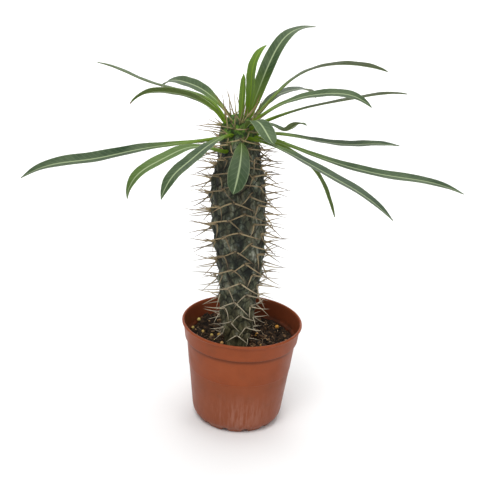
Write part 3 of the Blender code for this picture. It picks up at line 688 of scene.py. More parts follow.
def rounded(profile, steps=3):
    """Round the corners of a profile; each corner is (radius, height, rounding)."""
    out = []
    for index, (radius, height, rounding) in enumerate(profile):
        here = Vector((radius, height))
        if index in (0, len(profile) - 1) or rounding <= 0:
            out.append(here)
            continue
        before = Vector(profile[index - 1][:2])
        after = Vector(profile[index + 1][:2])
        cut = min(rounding, (before - here).length * 0.45, (after - here).length * 0.45)
        start = here + (before - here).normalized() * cut
        end = here + (after - here).normalized() * cut
        for step in range(steps + 1):
            t = step / steps
            out.append(start * (1 - t) ** 2 + here * 2 * t * (1 - t) + end * t * t)
    return out


def densified(profile, longest):
    """Split long stretches of a profile so that its values can vary along them."""
    out = [profile[0]]
    for before, after in zip(profile, profile[1:]):
        pieces = max(1, ceil((after - before).length / longest))
        for piece in range(1, pieces + 1):
            out.append(before.lerp(after, piece / pieces))
    return out


def build_pot():
    """The pot: rolled lip, stepped collar, faint ring, rounded heel and scalloped foot."""
    collar_foot = POT_HEIGHT - COLLAR_HEIGHT
    lip_foot = POT_HEIGHT - LIP_HEIGHT
    floor_top = FLOOR_LIFT + FLOOR_THICKNESS
    ring_radius = wall_radius(RING_HEIGHT)
    profile = (
        (0.0, 0.0, 0.0),
        (PAD_RADIUS, 0.0, 0.0006),
        (PAD_RADIUS + FLOOR_SLOPE, FLOOR_LIFT, 0.0006),
        (FOOT_INNER_RADIUS - FLOOR_SLOPE, FLOOR_LIFT, 0.0006),
        (FOOT_INNER_RADIUS, 0.0, 0.0005),
        (FOOT_OUTER_RADIUS, 0.0, 0.0009),
        (FOOT_OUTER_RADIUS + 0.0014, 0.0026, 0.0010),
        (WALL_FOOT_RADIUS - 0.0009, 0.0070, 0.0028),
        (wall_radius(0.012), 0.012, 0.002),
        (ring_radius, RING_HEIGHT, 0.0003),
        (ring_radius + RING_STEP, RING_HEIGHT + RING_STEP, 0.0004),
        (WALL_TOP_RADIUS, collar_foot - 0.0004, 0.0004),
        (COLLAR_FOOT_RADIUS - 0.0003, collar_foot, 0.0004),
        (COLLAR_FOOT_RADIUS, collar_foot + 0.0008, 0.0005),
        (COLLAR_TOP_RADIUS, lip_foot - 0.0002, 0.0005),
        (RIM_RADIUS - 0.0004, lip_foot + 0.0004, 0.0006),
        (RIM_RADIUS, POT_HEIGHT - 0.0013, 0.0008),
        (RIM_RADIUS - 0.0007, POT_HEIGHT, 0.0008),
        (COLLAR_TOP_RADIUS - 0.0004, POT_HEIGHT, 0.0006),
        (COLLAR_TOP_RADIUS - WALL_THICKNESS, lip_foot, 0.0008),
        (COLLAR_FOOT_RADIUS - WALL_THICKNESS, collar_foot + 0.0005, 0.0006),
        (WALL_TOP_RADIUS - WALL_THICKNESS, collar_foot - 0.0016, 0.0006),
        (WALL_FOOT_RADIUS - WALL_THICKNESS, WALL_FOOT_HEIGHT, 0.002),
        (WALL_FOOT_RADIUS - 0.0040, floor_top, 0.001),
        (PAD_RADIUS + 0.0033, floor_top, 0.0006),
        (PAD_RADIUS + 0.0005, FLOOR_THICKNESS, 0.0004),
        (0.0, FLOOR_THICKNESS, 0.0),
    )
    outline = densified(rounded(profile), PROFILE_STEP)
    top_index = max(range(len(outline)), key=lambda i: (outline[i].y, outline[i].x))
    points, values = [], {"scuff": [], "inner": [], "soiled": [], "level": []}
    for index, place in enumerate(outline[1:-1], start=1):
        inside = index > top_index
        foot = 0.0 if inside else share_between(*NOTCH_RANGE, place.y)
        foot *= share_between(FOOT_INNER_RADIUS - 0.001, FOOT_OUTER_RADIUS, place.x)
        for angle in turns(POT_SIDES):
            notch = max(0.0, -cos(FOOT_LOBES * angle)) ** 3 * foot
            sway = RIM_SWAY * sin(2 * angle + 0.6) * share_between(*SWAY_RANGE, place.y)
            radius = place.x - FOOT_NOTCH_DEPTH * notch + sway
            height = place.y + FOOT_NOTCH * notch
            points.append((radius * cos(angle), radius * sin(angle), height))
            facing = 0.5 + 0.5 * cos(angle + pi / 2 - SCUFF_TURN)
            worn = SCUFF_EVERYWHERE + (1 - SCUFF_EVERYWHERE) * facing ** SCUFF_FOCUS
            scuff = 0.0 if inside else share_between(*SCUFF_RANGE, height) * worn
            values["scuff"].append(scuff)
            values["level"].append(height / POT_HEIGHT)
            # inner marks the inside of the wall, which is given painted shade
            values["inner"].append(1.0 if inside and height < POT_HEIGHT - 0.001 else 0.0)
            values["soiled"].append(share_between(*STAIN_RANGE, height) if inside else 0.0)
    rings = len(outline) - 2
    faces = grid_faces(rings, POT_SIDES)
    faces += pole_faces(POT_SIDES, len(points), 0, len(points) + 1, (rings - 1) * POT_SIDES)
    points.extend([(0.0, 0.0, 0.0), (0.0, 0.0, FLOOR_THICKNESS)])
    for value in values.values():
        value.extend([0.0, 0.0])
    pot = make_object("pot_shell", points, faces, plastic_material(), values)
    cut_drain_holes(pot)
    return ride_as(pot, "pot_plastic", "pot")


def cut_drain_holes(pot):
    """Cut the drain holes through the raised part of the floor."""
    tool = Parts()
    ends = (FLOOR_LIFT - DRAIN_RADIUS, FLOOR_LIFT + FLOOR_THICKNESS + DRAIN_RADIUS)
    for index in range(DRAIN_HOLES):
        turn = FULL_TURN * (index + 0.5) / DRAIN_HOLES
        x, y = DRAIN_CIRCLE * cos(turn), DRAIN_CIRCLE * sin(turn)
        points = [(x + DRAIN_RADIUS * cos(angle), y + DRAIN_RADIUS * sin(angle), end)
                  for end in ends for angle in turns(DRAIN_SIDES)]
        tool.add(points, closed_faces(2, DRAIN_SIDES))
    cutter = tool.build("drain_cutter", pot.data.materials[0])
    modifier = pot.modifiers.new("drain", "BOOLEAN")
    modifier.operation = "DIFFERENCE"
    modifier.solver = "EXACT"
    modifier.object = cutter
    with bpy.context.temp_override(object=pot, active_object=pot):
        bpy.ops.object.modifier_apply(modifier=modifier.name)
    bpy.data.objects.remove(cutter, do_unlink=True)


# Soil


FOOT_X = curve_value(STEM_AXIS_X, SOIL_TOP)


def soil_height(x, y):
    """The soil's lumpy top: level round the stem, higher behind, heaped at the back left."""
    from_stem = hypot(x - FOOT_X, y - STEM_Y)
    calm = share_between(CALM_RADIUS, CALM_RADIUS + CALM_WIDTH, from_stem)
    lumps = (sin(310 * x + 1.3) * sin(270 * y - 0.4)
             + 0.6 * sin(520 * x + 440 * y) + 0.4 * sin(700 * y - 330 * x + 2.0))
    fine = noise.noise((x * 240, y * 240, 0.5)) + 0.6 * noise.noise((x * 620, y * 620, 3.1))
    back = BACK_RISE * share_between(*BACK_RANGE, y)
    heap = HEAP_HEIGHT * exp(-((x - HEAP_X) ** 2 + (y - HEAP_Y) ** 2) / HEAP_SPREAD ** 2)
    return SOIL_TOP + calm * (SOIL_LUMP * lumps + back) + heap + SOIL_FINE * fine


def build_soil():
    """The body of peat that fills the pot, with a fine lumpy top."""
    side = WALL_THICKNESS + SOIL_GAP
    edge = wall_radius(SOIL_TOP) - side
    inner = STEM_RADIUS[0][1] + SOIL_GAP
    bottom = FLOOR_LIFT + FLOOR_THICKNESS + SOIL_BOTTOM_GAP
    middle = (0.0, 0.0)
    rings = [(middle, SOIL_BOTTOM_RADIUS, bottom), (middle, WALL_FOOT_RADIUS - 0.0043, bottom),
             (middle, WALL_FOOT_RADIUS - side, WALL_FOOT_HEIGHT), (middle, edge, None)]
    for step in range(1, SOIL_RINGS + 1):
        share = step / SOIL_RINGS
        rings.append(((FOOT_X * share, STEM_Y * share), edge + share * (inner - edge), None))
    rings.append(((FOOT_X, STEM_Y), inner, STEM_FOOT - SOIL_BOTTOM_GAP))
    points = []
    for centre, radius, height in rings:
        for angle in turns(SOIL_SIDES):
            x, y = centre[0] + radius * cos(angle), centre[1] + radius * sin(angle)
            points.append((x, y, soil_height(x, y) if height is None else height))
    tint = [0.25 + 0.5 * noise.noise((p[0] * 160, p[1] * 160, 7.0)) for p in points]
    peat = peat_material("peat", *PEAT_COLOURS)
    soil = make_object("soil_body", points, closed_faces(len(rings), SOIL_SIDES), peat,
                       {"tint": tint})
    return ride_as(soil, "peat", "soil")


def soil_spot(draw, margin):
    """A random place on the soil between the stem and the pot's wall."""
    edge = wall_radius(SOIL_TOP) - WALL_THICKNESS - margin
    while True:
        x, y = draw.uniform(-edge, edge), draw.uniform(-edge, edge)
        from_stem = hypot(x - FOOT_X, y - STEM_Y)
        if hypot(x, y) < edge and from_stem > STEM_CLEARANCE + margin:
            return x, y


GOLDEN = (1 + sqrt(5)) / 2
BALL = [Vector(corner) for a in (-1, 1) for b in (-GOLDEN, GOLDEN)
        for corner in ((a, b, 0), (0, a, b), (b, 0, a))]
LONGEST_BALL_SIDE = 2.1


def lump(draw, size):
    """An uneven crumb: a squashed ball of few faces with each corner pushed in or out."""
    axis_turn = Matrix.Rotation(draw.uniform(0, CYCLE), 3,
                                Vector((draw.random(), draw.random(), 0.3)))
    points = []
    for corner in BALL:
        place = axis_turn @ corner.normalized() * (size * draw.uniform(0.65, 1.25))
        points.append(Vector((place.x, place.y, place.z * CRUMB_FLATNESS)))
    return points


def ball_faces():
    """The twenty faces of the crumb's ball, found as the nearest triples of corners."""
    faces = []
    for i, j, k in combinations(range(len(BALL)), 3):
        first, second, third = BALL[i], BALL[j], BALL[k]
        sides = ((first - second).length, (second - third).length, (third - first).length)
        if max(sides) < LONGEST_BALL_SIDE:
            outward = (second - first).cross(third - first).dot(first) > 0
            faces.append((i, j, k) if outward else (i, k, j))
    return faces


BALL_FACES = ball_faces()


def scatter(name, count, seed, margin, shape, material, placed=()):
    """Loose pieces on the soil; a shape gives points, faces and a tint for a place."""
    draw = random.Random(seed)
    pieces = Parts()
    for spot in chain(placed, (soil_spot(draw, margin) for _ in range(count))):
        points, faces, tint = shape(draw, *spot)
        pieces.add(points, faces, tint=tint)
    return ride_as(pieces.build(name, material), "peat")


def crumb(draw, x, y):
    """A crumb of peat; most are small."""
    size = CRUMB_SIZE + CRUMB_SPREAD * draw.random() ** 2.6
    place = Vector((x, y, soil_height(x, y) + size * 0.25))
    return [place + p for p in lump(draw, size)], BALL_FACES, draw.random()


def flake(draw, x, y):
    """A bark flake or wood chip, lying tilted."""
    length = FLAKE_LENGTH + FLAKE_SPREAD * draw.random() ** 2
    width = length * draw.uniform(*FLAKE_WIDTHS)
    thickness = draw.uniform(*FLAKE_THICKNESSES)
    turn = (Matrix.Rotation(draw.uniform(0, FULL_TURN), 3, "Z")
            @ Matrix.Rotation(radians(draw.uniform(-FLAKE_TILT, FLAKE_TILT)), 3, "X")
            @ Matrix.Rotation(radians(draw.uniform(-FLAKE_LEAN, FLAKE_LEAN)), 3, "Y"))
    place = Vector((x, y, soil_height(x, y) + thickness * 0.7))
    low, high = [], []
    for angle in turns(FLAKE_SIDES):
        reach = draw.uniform(0.72, 1.0)
        x, y = length / 2 * reach * cos(angle), width / 2 * reach * sin(angle)
        low.append(place + turn @ Vector((x, y, -thickness / 2)))
        high.append(place + turn @ Vector((x * 0.9, y * 0.9, thickness / 2)))
    return low + high, closed_faces(2, FLAKE_SIDES), draw.random() ** 1.1


def tube(path, radii, sides):
    """Points and faces of a closed tube along a path."""
    points = []
    for index, (centre, radius) in enumerate(zip(path, radii)):
        before, after = path[max(index - 1, 0)], path[min(index + 1, len(path) - 1)]
        turn = (after - before).to_track_quat("Z", "Y")
        points.extend(centre + turn @ Vector((radius * cos(a), radius * sin(a), 0.0))
                      for a in turns(sides))
    return points, closed_faces(len(path), sides)


def fibre(draw, x, y):
    """A pale curled root fibre."""
    turn = draw.uniform(0, FULL_TURN)
    bend = draw.uniform(-FIBRE_BEND, FIBRE_BEND)
    step = draw.uniform(*FIBRE_STEPS)
    arch = [sin(pi * i / (FIBRE_STATIONS - 1)) for i in range(FIBRE_STATIONS)]
    path = []
    for lift in arch:
        path.append(Vector((x, y, soil_height(x, y) + (FIBRE_LIFT + FIBRE_ARCH * lift))))
        turn += bend
        x += step * cos(turn)
        y += step * sin(turn)
    radius = draw.uniform(*FIBRE_RADII)
    radii = [radius * (0.5 + 0.5 * lift) for lift in arch]
    return *tube(path, radii, FIBRE_SIDES), draw.random()


def grain(draw, x, y, size=None, tint=None):
    """A round feed grain or a light pebble, a little uneven."""
    size = size or draw.uniform(*GRAIN_SIZES)
    tint = tint or draw.random()
    centre = Vector((x, y, soil_height(x, y) + size * 0.5))
    points = [centre + Vector((0, 0, -size))]
    for ring in range(1, GRAIN_RINGS):
        tilt = pi * ring / GRAIN_RINGS
        for angle in turns(GRAIN_SIDES):
            reach = size * (1 + 0.06 * sin(3 * angle + ring))
            points.append(centre + Vector((reach * sin(tilt) * cos(angle),
                                           reach * sin(tilt) * sin(angle),
                                           -size * cos(tilt))))
    points.append(centre + Vector((0, 0, size)))
    faces = [tuple(i + 1 for i in face) for face in grid_faces(GRAIN_RINGS - 1, GRAIN_SIDES)]
    top = len(points) - 1
    return points, faces + pole_faces(GRAIN_SIDES, 0, 1, top, top - GRAIN_SIDES), tint


def build_loose_pieces():
    """Peat crumbs, wood flakes, fibres and grains on the soil."""
    peat = peat_material("peat_crumbs", *CRUMB_COLOURS)
    wood = speckle_material("wood_flakes", FLAKE_COLOURS)
    pale = speckle_material("fibres", FIBRE_COLOURS)
    glossy = speckle_material("feed_grains", GRAIN_COLOURS, 0.45)
    scatter("soil_crumbs", CRUMB_COUNT, CRUMB_SEED, CRUMB_MARGIN, crumb, peat)
    scatter("soil_flakes", FLAKE_COUNT, FLAKE_SEED, FLAKE_MARGIN, flake, wood)
    scatter("soil_fibres", FIBRE_COUNT, FIBRE_SEED, FIBRE_MARGIN, fibre, pale)
    scatter("soil_grains", GRAIN_COUNT, GRAIN_SEED, GRAIN_MARGIN, grain, glossy, PLACED_GRAINS)


# Stem


def tubercle_places():
    """Azimuth and height of every tubercle; they stand closer together towards the crown."""
    places = []
    index = 0
    height = FIRST_TUBERCLE
    while height < HIGHEST_TUBERCLE:
        if height > LOWEST_TUBERCLE:
            places.append((radians(FIRST_AZIMUTH + TURN_PER_TUBERCLE * index), height))
        index += 1
        height = FIRST_TUBERCLE + TUBERCLE_RISE * index - TUBERCLE_CLOSING * index ** 2
    return places


TUBERCLES = tubercle_places()


def relief_fades(height):
    """How much of the relief is left at a height, over the soil and under the growing tip."""
    return (share_between(STEM_NECK, STEM_NECK + FOOT_FADE, height),
            min(1.0, max(LEAST_FADE, (STEM_TOP - height) / CROWN_FADE)))


def tubercle_relief(azimuth, height, radius):
    """How far the tubercles raise the stem's surface at a place."""
    raised = 0.0
    for place_azimuth, place_height in TUBERCLES:
        up = height - place_height
        if abs(up) > 3 * TUBERCLE_SPREAD:
            continue
        turn = (azimuth - place_azimuth + pi) % FULL_TURN - pi
        raised += exp(-(hypot(up, turn * radius) / TUBERCLE_SPREAD) ** 2)
    foot_fade, crown_fade = relief_fades(height)
    return TUBERCLE_HEIGHT * min(raised, MOST_OVERLAP) * foot_fade * crown_fade


def stem_point(azimuth, height):
    """A point of the stem's surface."""
    radius = curve_value(STEM_RADIUS, height)
    radius += tubercle_relief(azimuth, height, radius)
    return Vector((curve_value(STEM_AXIS_X, height) + radius * cos(azimuth),
                   STEM_Y + radius * sin(azimuth), height))


def stem_normal(azimuth, height):
    """The outward direction of the stem's surface, with the tubercles left out."""
    low, high = height - NORMAL_STEP, min(height + NORMAL_STEP, STEM_RADIUS[-1][0])
    outward = curve_value(STEM_RADIUS, low) - curve_value(STEM_RADIUS, high)
    normal = Vector((cos(azimuth) * (high - low), sin(azimuth) * (high - low), outward))
    return normal.normalized()


def stem_surface_values(azimuths, height, radius):
    """Distances to the nearest and the next tubercle, offsets from the nearest, and relief."""
    nearest, second = np.ones(len(azimuths)), np.ones(len(azimuths))
    up_near, side_near, raised = (np.zeros(len(azimuths)) for _ in range(3))
    for place_azimuth, place_height in TUBERCLES:
        up = height - place_height
        if abs(up) > TUBERCLE_REACH:
            continue
        side = ((azimuths - place_azimuth + pi) % FULL_TURN - pi) * radius
        distance = np.hypot(up, side)
        raised += np.exp(-(distance / TUBERCLE_SPREAD) ** 2)
        closer = distance < nearest
        second = np.where(closer, nearest, np.minimum(second, distance))
        up_near = np.where(closer, up, up_near)
        side_near = np.where(closer, side, side_near)
        nearest = np.minimum(nearest, distance)
    return nearest, second, up_near, side_near, raised


def build_stem_skin():
    """The stem's skin: packed tubercles with creases between them, leaf scars and fine wrinkles."""
    body = np.linspace(STEM_NECK - NECK_OVERLAP, DOME_START, STEM_RINGS)
    bend = np.sin(np.linspace(0.0, pi / 2, DOME_RINGS + 1))[1:]
    dome = DOME_START + (DOME_END - DOME_START) * bend
    heights = [STEM_FOOT + 0.001, *body, *dome]
    azimuths = np.linspace(0, FULL_TURN, STEM_SIDES, endpoint=False)
    rows, values = [], {key: [] for key in ("crease_and_shade", "hub", "scar", "foot", "crown")}
    last = STEM_RADIUS[-1][0]
    for height in heights:
        radius = curve_value(STEM_RADIUS, height)
        if height > last:
            radius *= sqrt(max(0.02, (STEM_TOP - height) / (STEM_TOP - last)))
        nearest, second, up, side, raised = stem_surface_values(azimuths, height, radius)
        foot_fade, crown_fade = relief_fades(height)
        fade = foot_fade * crown_fade
        # The crease mask dents the skin and also carries painted shade into the bark's colour
        crease_and_shade = 1.0 - smooth_step(0.0, CREASE_WIDTH, second - nearest)
        crease_and_shade *= fade * smooth_step(*CREASE_RANGE, nearest)
        hub = np.exp(-(nearest / HUB_RADIUS) ** 2) * fade
        scar = np.exp(-((side / SCAR_HALF_WIDTH) ** 2
                        + ((up - SCAR_LIFT) / SCAR_HALF_HEIGHT) ** 2) ** 2) * foot_fade
        relief = TUBERCLE_HEIGHT * np.minimum(raised, MOST_OVERLAP) * fade
        relief -= CREASE_DEPTH * crease_and_shade
        relief += HUB_HEIGHT * hub
        relief -= SCAR_DEPTH * scar
        around = list(zip(np.cos(azimuths) * radius, np.sin(azimuths) * radius))
        wrinkle = np.array([noise.noise((x * 330, y * 330, height * 210))
                            + 0.5 * noise.noise((x * 800, y * 800, height * 620))
                            for x, y in around])
        ridges = np.array([noise.noise((x * 190, y * 190, height * 75)) for x, y in around])
        full = (radius + relief
                + (WRINKLE_DEPTH * wrinkle + RIDGE_DEPTH * ridges) * max(foot_fade, 0.4))
        rows.append(np.stack([curve_value(STEM_AXIS_X, height) + full * np.cos(azimuths),
                              STEM_Y + full * np.sin(azimuths),
                              np.full(STEM_SIDES, height)], axis=1))
        values["crease_and_shade"].extend(crease_and_shade)
        values["hub"].extend(hub)
        values["scar"].extend(scar * share_between(*SCAR_RANGE, height))
        values["foot"].extend([share_between(*EARTHY_RANGE, height)] * STEM_SIDES)
        values["crown"].extend([share_between(*GREEN_RANGE, height)] * STEM_SIDES)
    skin = make_object("stem_skin", np.concatenate(rows), closed_faces(len(heights), STEM_SIDES),
                       bark_material(), values)
    return ride_as(skin, "bark", "stem")


def spine_clear(root, tip, leaf_spots):
    """Whether a spine keeps its distance from the soil and from every leaf."""
    if min(tip.z, root.z) < SOIL_TOP + SPINE_TO_SOIL:
        return False
    along = tip - root
    for centre, half_width in leaf_spots:
        share = min(1.0, max(0.0, (centre - root).dot(along) / along.length_squared))
        if (root + along * share - centre).length < half_width + SPINE_TO_LEAF:
            return False
    return True


def spine_direction(normal, turn, lift):
    """The outward direction turned sideways and lifted, in degrees."""
    azimuth = atan2(normal.y, normal.x) + radians(turn)
    rise = asin(normal.z) * NORMAL_RISE_SHARE + radians(lift)
    return heading(azimuth, min(rise, radians(STEEPEST_SPINE)))


BENDS = sorted(((turn, lift) for turn in range(-48, 49, 12) for lift in range(-30, 46, 15)),
               key=lambda bend: abs(bend[0]) + abs(bend[1]))


def grow_spine(plan, leaf_spots, height, root, normal, turn, lift, size):
    """Add a spine to the plan, in the least bent direction in which it meets nothing."""
    for more_turn, more_lift in BENDS:
        direction = spine_direction(normal, turn + more_turn, lift + more_lift)
        if (direction.dot(normal) >= LEAST_OUTWARD
                and spine_clear(root, root + direction * size, leaf_spots)):
            plan.append((root, direction, size, height))
            return


def spine_plan(leaf_spots):
    """Root, direction, length and height of every spine: a long pair and a short one each."""
    draw = random.Random(SPINE_SEED)
    short_draw = random.Random(SPINE_SEED + 1)
    plan = []
    for azimuth, height in TUBERCLES:
        middle = stem_point(azimuth, height)
        normal = stem_normal(azimuth, height)
        grown = share_between(*GROWTH_RANGE, height)
        length = FOOT_SPINE_LENGTH + grown * (SPINE_LENGTH - FOOT_SPINE_LENGTH)
        crown = CROWN_SPINE_LIFT * share_between(*CROWN_RANGE, height)
        for side in (-1, 1):
            root = middle + side * SPINE_ROOT_OFFSET * sideways_at(azimuth)
            turn = side * SPINE_SPREAD + draw.uniform(-SPREAD_VARIATION, SPREAD_VARIATION)
            lift = SPINE_LIFT + draw.uniform(-LIFT_VARIATION, LIFT_VARIATION) + crown
            size = length * draw.uniform(*LONG_SIZES)
            grow_spine(plan, leaf_spots, height, root, normal, turn, lift, size)
        root = middle + Vector((0, 0, SHORT_SPINE_RISE))
        lift = (SHORT_SPINE_LIFT
                + short_draw.uniform(-SHORT_LIFT_VARIATION, SHORT_LIFT_VARIATION) + crown)
        size = length * short_draw.uniform(*SHORT_SIZES)
        turn = short_draw.uniform(-SHORT_TURN_VARIATION, SHORT_TURN_VARIATION)
        grow_spine(plan, leaf_spots, height, root, normal, turn, lift, size)
    return plan


def tuft_plan(leaf_spots):
    """Upright spines of the youngest tubercles, round the growing tip."""
    draw = random.Random(TUFT_SEED)
    plan = []
    for index in range(TUFT_SPINES):
        azimuth = radians(TURN_PER_TUBERCLE * index + draw.uniform(-TUFT_STRAY, TUFT_STRAY))
        height = TUFT_LOW + (TUFT_HIGH - TUFT_LOW) * index / TUFT_SPINES
        normal = stem_normal(azimuth, height)
        rise = draw.uniform(*TUFT_RISES)
        lift = rise - degrees(asin(normal.z)) * NORMAL_RISE_SHARE
        size = draw.uniform(*TUFT_LENGTHS)
        turn = draw.uniform(-TUFT_TURN_VARIATION, TUFT_TURN_VARIATION)
        grow_spine(plan, leaf_spots, height, stem_point(azimuth, height), normal, turn, lift, size)
    return plan


def build_spines():
    """Slim tapered spines, each a little bowed, with a swollen root."""
    leaf_spots = [spot for leaf in LEAVES for spot in leaf_path(leaf)]
    draw = random.Random(SPINE_BOW_SEED)
    spines = Parts()
    for root, direction, length, height in spine_plan(leaf_spots) + tuft_plan(leaf_spots):
        across = direction.orthogonal().normalized()
        across.rotate(Matrix.Rotation(draw.uniform(0, FULL_TURN), 3, direction))
        bow = across * length * draw.uniform(-SPINE_BOW, SPINE_BOW)
        base = root - direction * SPINE_SINK
        grown = share_between(*GROWTH_RANGE, height)
        thick = SPINE_BASE_RADIUS * (0.72 + 0.28 * grown) * (0.75 + 0.25 * length / SPINE_LENGTH)
        path, radii, along = [], [], []
        for index in range(SPINE_RINGS):
            t = index / (SPINE_RINGS - 1)
            path.append(base.lerp(root + direction * length, t) + bow * 4 * t * (1 - t))
            from_swelling = (t * (length + SPINE_SINK) - SPINE_SWELLING_AT) / SPINE_SWELLING_SPREAD
            swell = SPINE_SWELLING * exp(-from_swelling ** 2)
            radii.append(thick * ((1 - t) ** 0.75 * (1 - SPINE_TIP) + SPINE_TIP + swell))
            along.extend([t] * SPINE_SIDES)
        spines.add(*tube(path, radii, SPINE_SIDES), along=along, tint=draw.random(),
                   old=share_between(*OLD_RANGE, height),
                   fresh=share_between(*FRESH_RANGE, height))
    return ride_as(spines.build("stem_spines", spine_material()), "bark")


# Leaves


def leaf_half_width(leaf, share):
    """Half of the blade's width at a share of its length."""
    outline = YOUNG_OUTLINE if leaf.young else BLADE_OUTLINE
    if leaf.length < LONGEST_SHORT_LEAF and not leaf.young:
        outline = SHORT_OUTLINE
    extra = max(0.0, leaf.width / 2 - PETIOLE_HALF_WIDTH) * curve_value(outline, share)
    narrowing = share_between(TIP_START, 1.0, share) * (1.0 - TIP_SHARE)
    return PETIOLE_HALF_WIDTH * (1.0 - narrowing) + extra


def leaf_frame(leaf, rises, share):
    """Direction along the leaf and sideways vector at a share of its length."""
    azimuth = radians(leaf.azimuth + leaf.sweep * share)
    direction = heading(azimuth, radians(curve_value(rises, min(share, 1.0))))
    roll = Matrix.Rotation(radians(leaf.roll) * min(1.0, share / ROLL_SHARE), 3, direction)
    return direction, roll @ sideways_at(azimuth)


def leaf_stations(leaf, count):
    """Centre, direction, sideways vector, half width and share at every station of a leaf."""
    azimuth = radians(leaf.azimuth)
    normal = stem_normal(azimuth, leaf.height)
    seat = stem_point(azimuth, leaf.height) + normal * LEAF_SEAT_GAP
    stations = [(seat, normal, sideways_at(azimuth), PETIOLE_HALF_WIDTH, 0.0)]
    centre = seat + normal * LEAF_STUB
    rises = [(0.25 * index, rise) for index, rise in enumerate(leaf.rise)]
    share_step = 1.0 / (count * INTEGRATION_STEPS)
    for station in range(count + 1):
        share = station / count
        direction, sideways = leaf_frame(leaf, rises, share)
        width = leaf_half_width(leaf, share)
        stations.append((centre.copy(), direction, sideways, width, share))
        for step in range(INTEGRATION_STEPS):
            middle = share + (step + 0.5) * share_step
            centre += leaf_frame(leaf, rises, middle)[0] * (leaf.length * share_step)
    return stations


def leaf_path(leaf):
    """Points along a leaf's midrib, with the half width there, close enough for clearances."""
    path = []
    stations = leaf_stations(leaf, PATH_STATIONS)
    for first, last in zip(stations, stations[1:]):
        for part in range(PATH_PARTS):
            share = part / PATH_PARTS
            path.append((first[0].lerp(last[0], share), first[3] + share * (last[3] - first[3])))
    return path


def build_leaf(leaf, material, draw):
    """A thin blade with a grooved midrib above, a keel below and slightly wavy edges."""
    stations = leaf_stations(leaf, LEAF_STATIONS)
    seat, normal, across_seat, _, _ = stations[0]
    stations.insert(0, (seat - normal * (LEAF_SEAT_GAP + LEAF_SINK), normal, across_seat,
                        PETIOLE_HALF_WIDTH * ROOT_SWELLING, 0.0))
    rise_per_width = tan(radians(leaf.fold))
    phase = draw.uniform(0, CYCLE)
    beat = draw.uniform(*WAVE_BEATS)
    veins = leaf.length / VEIN_SPACING
    tone = LEAF_TONES.get(leaf.name, draw.uniform(0.0, 0.25))
    withered = WITHERED_TIPS.get(leaf.name, 0.0)
    columns = [2 * i / LEAF_COLUMNS - 1 for i in range(LEAF_COLUMNS + 1)]
    around = [(True, a) for a in columns] + [(False, a) for a in reversed(columns)]
    points, brown = [], []
    for centre, direction, sideways, half_width, share in stations:
        up = direction.cross(sideways).normalized()
        spread = max(0.0, half_width - PETIOLE_HALF_WIDTH)
        full = share_between(0.0, FULL_BLADE, spread)
        thinned = 1.0 - TIP_THINNING * share_between(THINNING_START, 1.0, share)
        thickness = EDGE_THICKNESS + STALK_EDGE * (1 - full) + STALK_BODY * (1 - full)
        if withered:
            brown.extend([share_between(1.0 - withered, 1.0, share)] * len(around))
        for upper, across in around:
            size = abs(across)
            place = across * half_width
            offset = rise_per_width * spread * size ** FOLD_CURVE
            lag = phase + SIDE_LAG * (across > 0)
            offset += EDGE_WAVE * full * size ** 2 * sin(beat * CYCLE * share + lag)
            quilt = VEIN_RELIEF * full * sin(CYCLE * (share * veins - VEIN_SLANT * size))
            round_edge = sqrt(max(0.0, 1 - size ** 6))
            body = thickness * round_edge * thinned
            if upper:
                groove = -GROOVE_DEPTH * exp(-(place / GROOVE_WIDTH) ** 2) * full
                offset += body + groove + quilt
            else:
                keel = KEEL_DEPTH * exp(-(place / KEEL_WIDTH) ** 2) * thinned
                offset -= body + keel * round_edge - quilt
            points.append(centre + sideways * place + up * offset)
    count = len(points)
    stalk = 1.0 if leaf.length > LONGEST_SHORT_LEAF else 0.3
    values = {"across": [a for _, a in around] * len(stations),
              "upper": [float(upper) for upper, _ in around] * len(stations),
              "along": [station[4] for station in stations for _ in around],
              "brown": brown or [0.0] * count, "veins": [veins] * count,
              "tone": [tone] * count, "stalk": [stalk] * count}
    faces = [tuple(reversed(face)) for face in closed_faces(len(stations), len(around))]
    blade = make_object(leaf.name + "_blade", points, faces, material, values)
    return ride_as(blade, "young_leaf" if leaf.young else "leaf", leaf.name)


def build_leaves():
    """Every leaf, grown ones in grey-green and young ones in bright green."""
    grown = leaf_material("leaf", **GROWN_LEAF)
    young = leaf_material("young_leaf", **YOUNG_LEAF)
    draw = random.Random(LEAF_SEED)
    for leaf in LEAVES:
        bright = leaf.young and leaf.length < LONGEST_BRIGHT_LEAF
        build_leaf(leaf, young if bright else grown, draw)


# Studio

FLOOR_LEVEL = -0.0004
FLOOR_FRONT = -3.0
FLOOR_BACK = 1.6
FLOOR_HALF_WIDTH = 4.0
CURVE_RADIUS = 0.9
CURVE_STEPS = 16
BACKDROP_TOP = 4.0
WORLD_LIGHT = 0.42
LAMPS = (("key", (-0.35, -1.1, 1.6), (0.0, 0.0, 0.2), 0.9, 21.0),
         ("fill", (1.3, -0.8, 1.0), (0.0, 0.0, 0.2), 1.2, 5.0),
         ("top", (0.1, 0.2, 1.9), (0.0, 0.0, 0.2), 1.0, 16.0),
         ("backdrop", (0.0, 1.0, 1.9), (0.0, 3.0, 0.8), 1.6, 40.0))


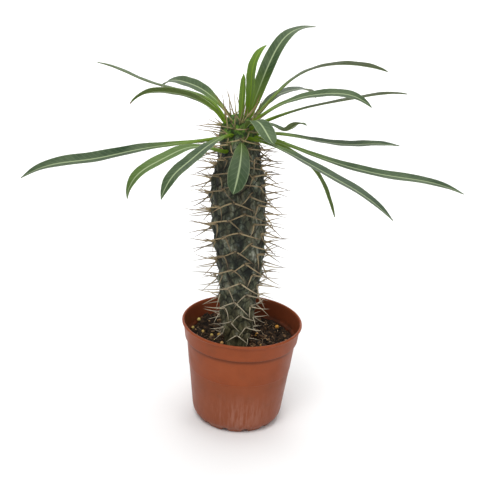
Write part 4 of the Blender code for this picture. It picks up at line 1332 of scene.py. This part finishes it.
def build_studio():
    """A pale floor that curves up behind, and soft lights."""
    profile = [(FLOOR_FRONT, FLOOR_LEVEL), (FLOOR_BACK, FLOOR_LEVEL)]
    for step in range(1, CURVE_STEPS + 1):
        angle = pi / 2 * step / CURVE_STEPS
        profile.append((FLOOR_BACK + CURVE_RADIUS * sin(angle),
                        FLOOR_LEVEL + CURVE_RADIUS * (1 - cos(angle))))
    profile.append((FLOOR_BACK + CURVE_RADIUS, BACKDROP_TOP))
    points = [(x, y, z) for y, z in profile for x in (-FLOOR_HALF_WIDTH, FLOOR_HALF_WIDTH)]
    faces = [(i, i + 1, i + 3, i + 2) for i in range(0, len(points) - 2, 2)]
    paper = Nodes("studio_paper", 0.9)
    paper.finish(paper.patches(((0.0, 0.86), (1.0, 0.88)), 3.0))
    make_object("studio_floor", points, faces, paper.material)

    world = bpy.data.worlds.new("studio_world")
    world.use_nodes = True
    background = world.node_tree.nodes["Background"].inputs
    background["Color"].default_value = (1.0, 1.0, 1.0, 1.0)
    background["Strength"].default_value = WORLD_LIGHT
    scene.world = world
    for name, place, aim, size, power in LAMPS:
        light = bpy.data.lights.new(name, "AREA")
        light.shape = "SQUARE"
        light.size = size
        light.energy = power
        lamp = bpy.data.objects.new(name, light)
        lamp.location = place
        lamp.rotation_euler = (Vector(aim) - Vector(place)).to_track_quat("-Z", "Y").to_euler()
        scene.collection.objects.link(lamp)
    scene.view_settings.view_transform = "Standard"


def build_camera():
    """The camera that took the photo, as fitted to the pot."""
    lens = bpy.data.cameras.new("camera")
    lens.lens = CAMERA_LENS
    lens.sensor_width = SENSOR_WIDTH
    camera = bpy.data.objects.new("camera", lens)
    camera.matrix_world = (Matrix.Translation((0, -CAMERA_DISTANCE, CAMERA_HEIGHT))
                           @ Matrix.Rotation(radians(-CAMERA_YAW), 4, "Z")
                           @ Matrix.Rotation(radians(90 - CAMERA_PITCH), 4, "X")
                           @ Matrix.Rotation(radians(CAMERA_ROLL), 4, "Z"))
    scene.collection.objects.link(camera)
    scene.camera = camera


build_camera()
build_pot()
build_soil()
build_loose_pieces()
build_stem_skin()
build_spines()
build_leaves()
build_studio()
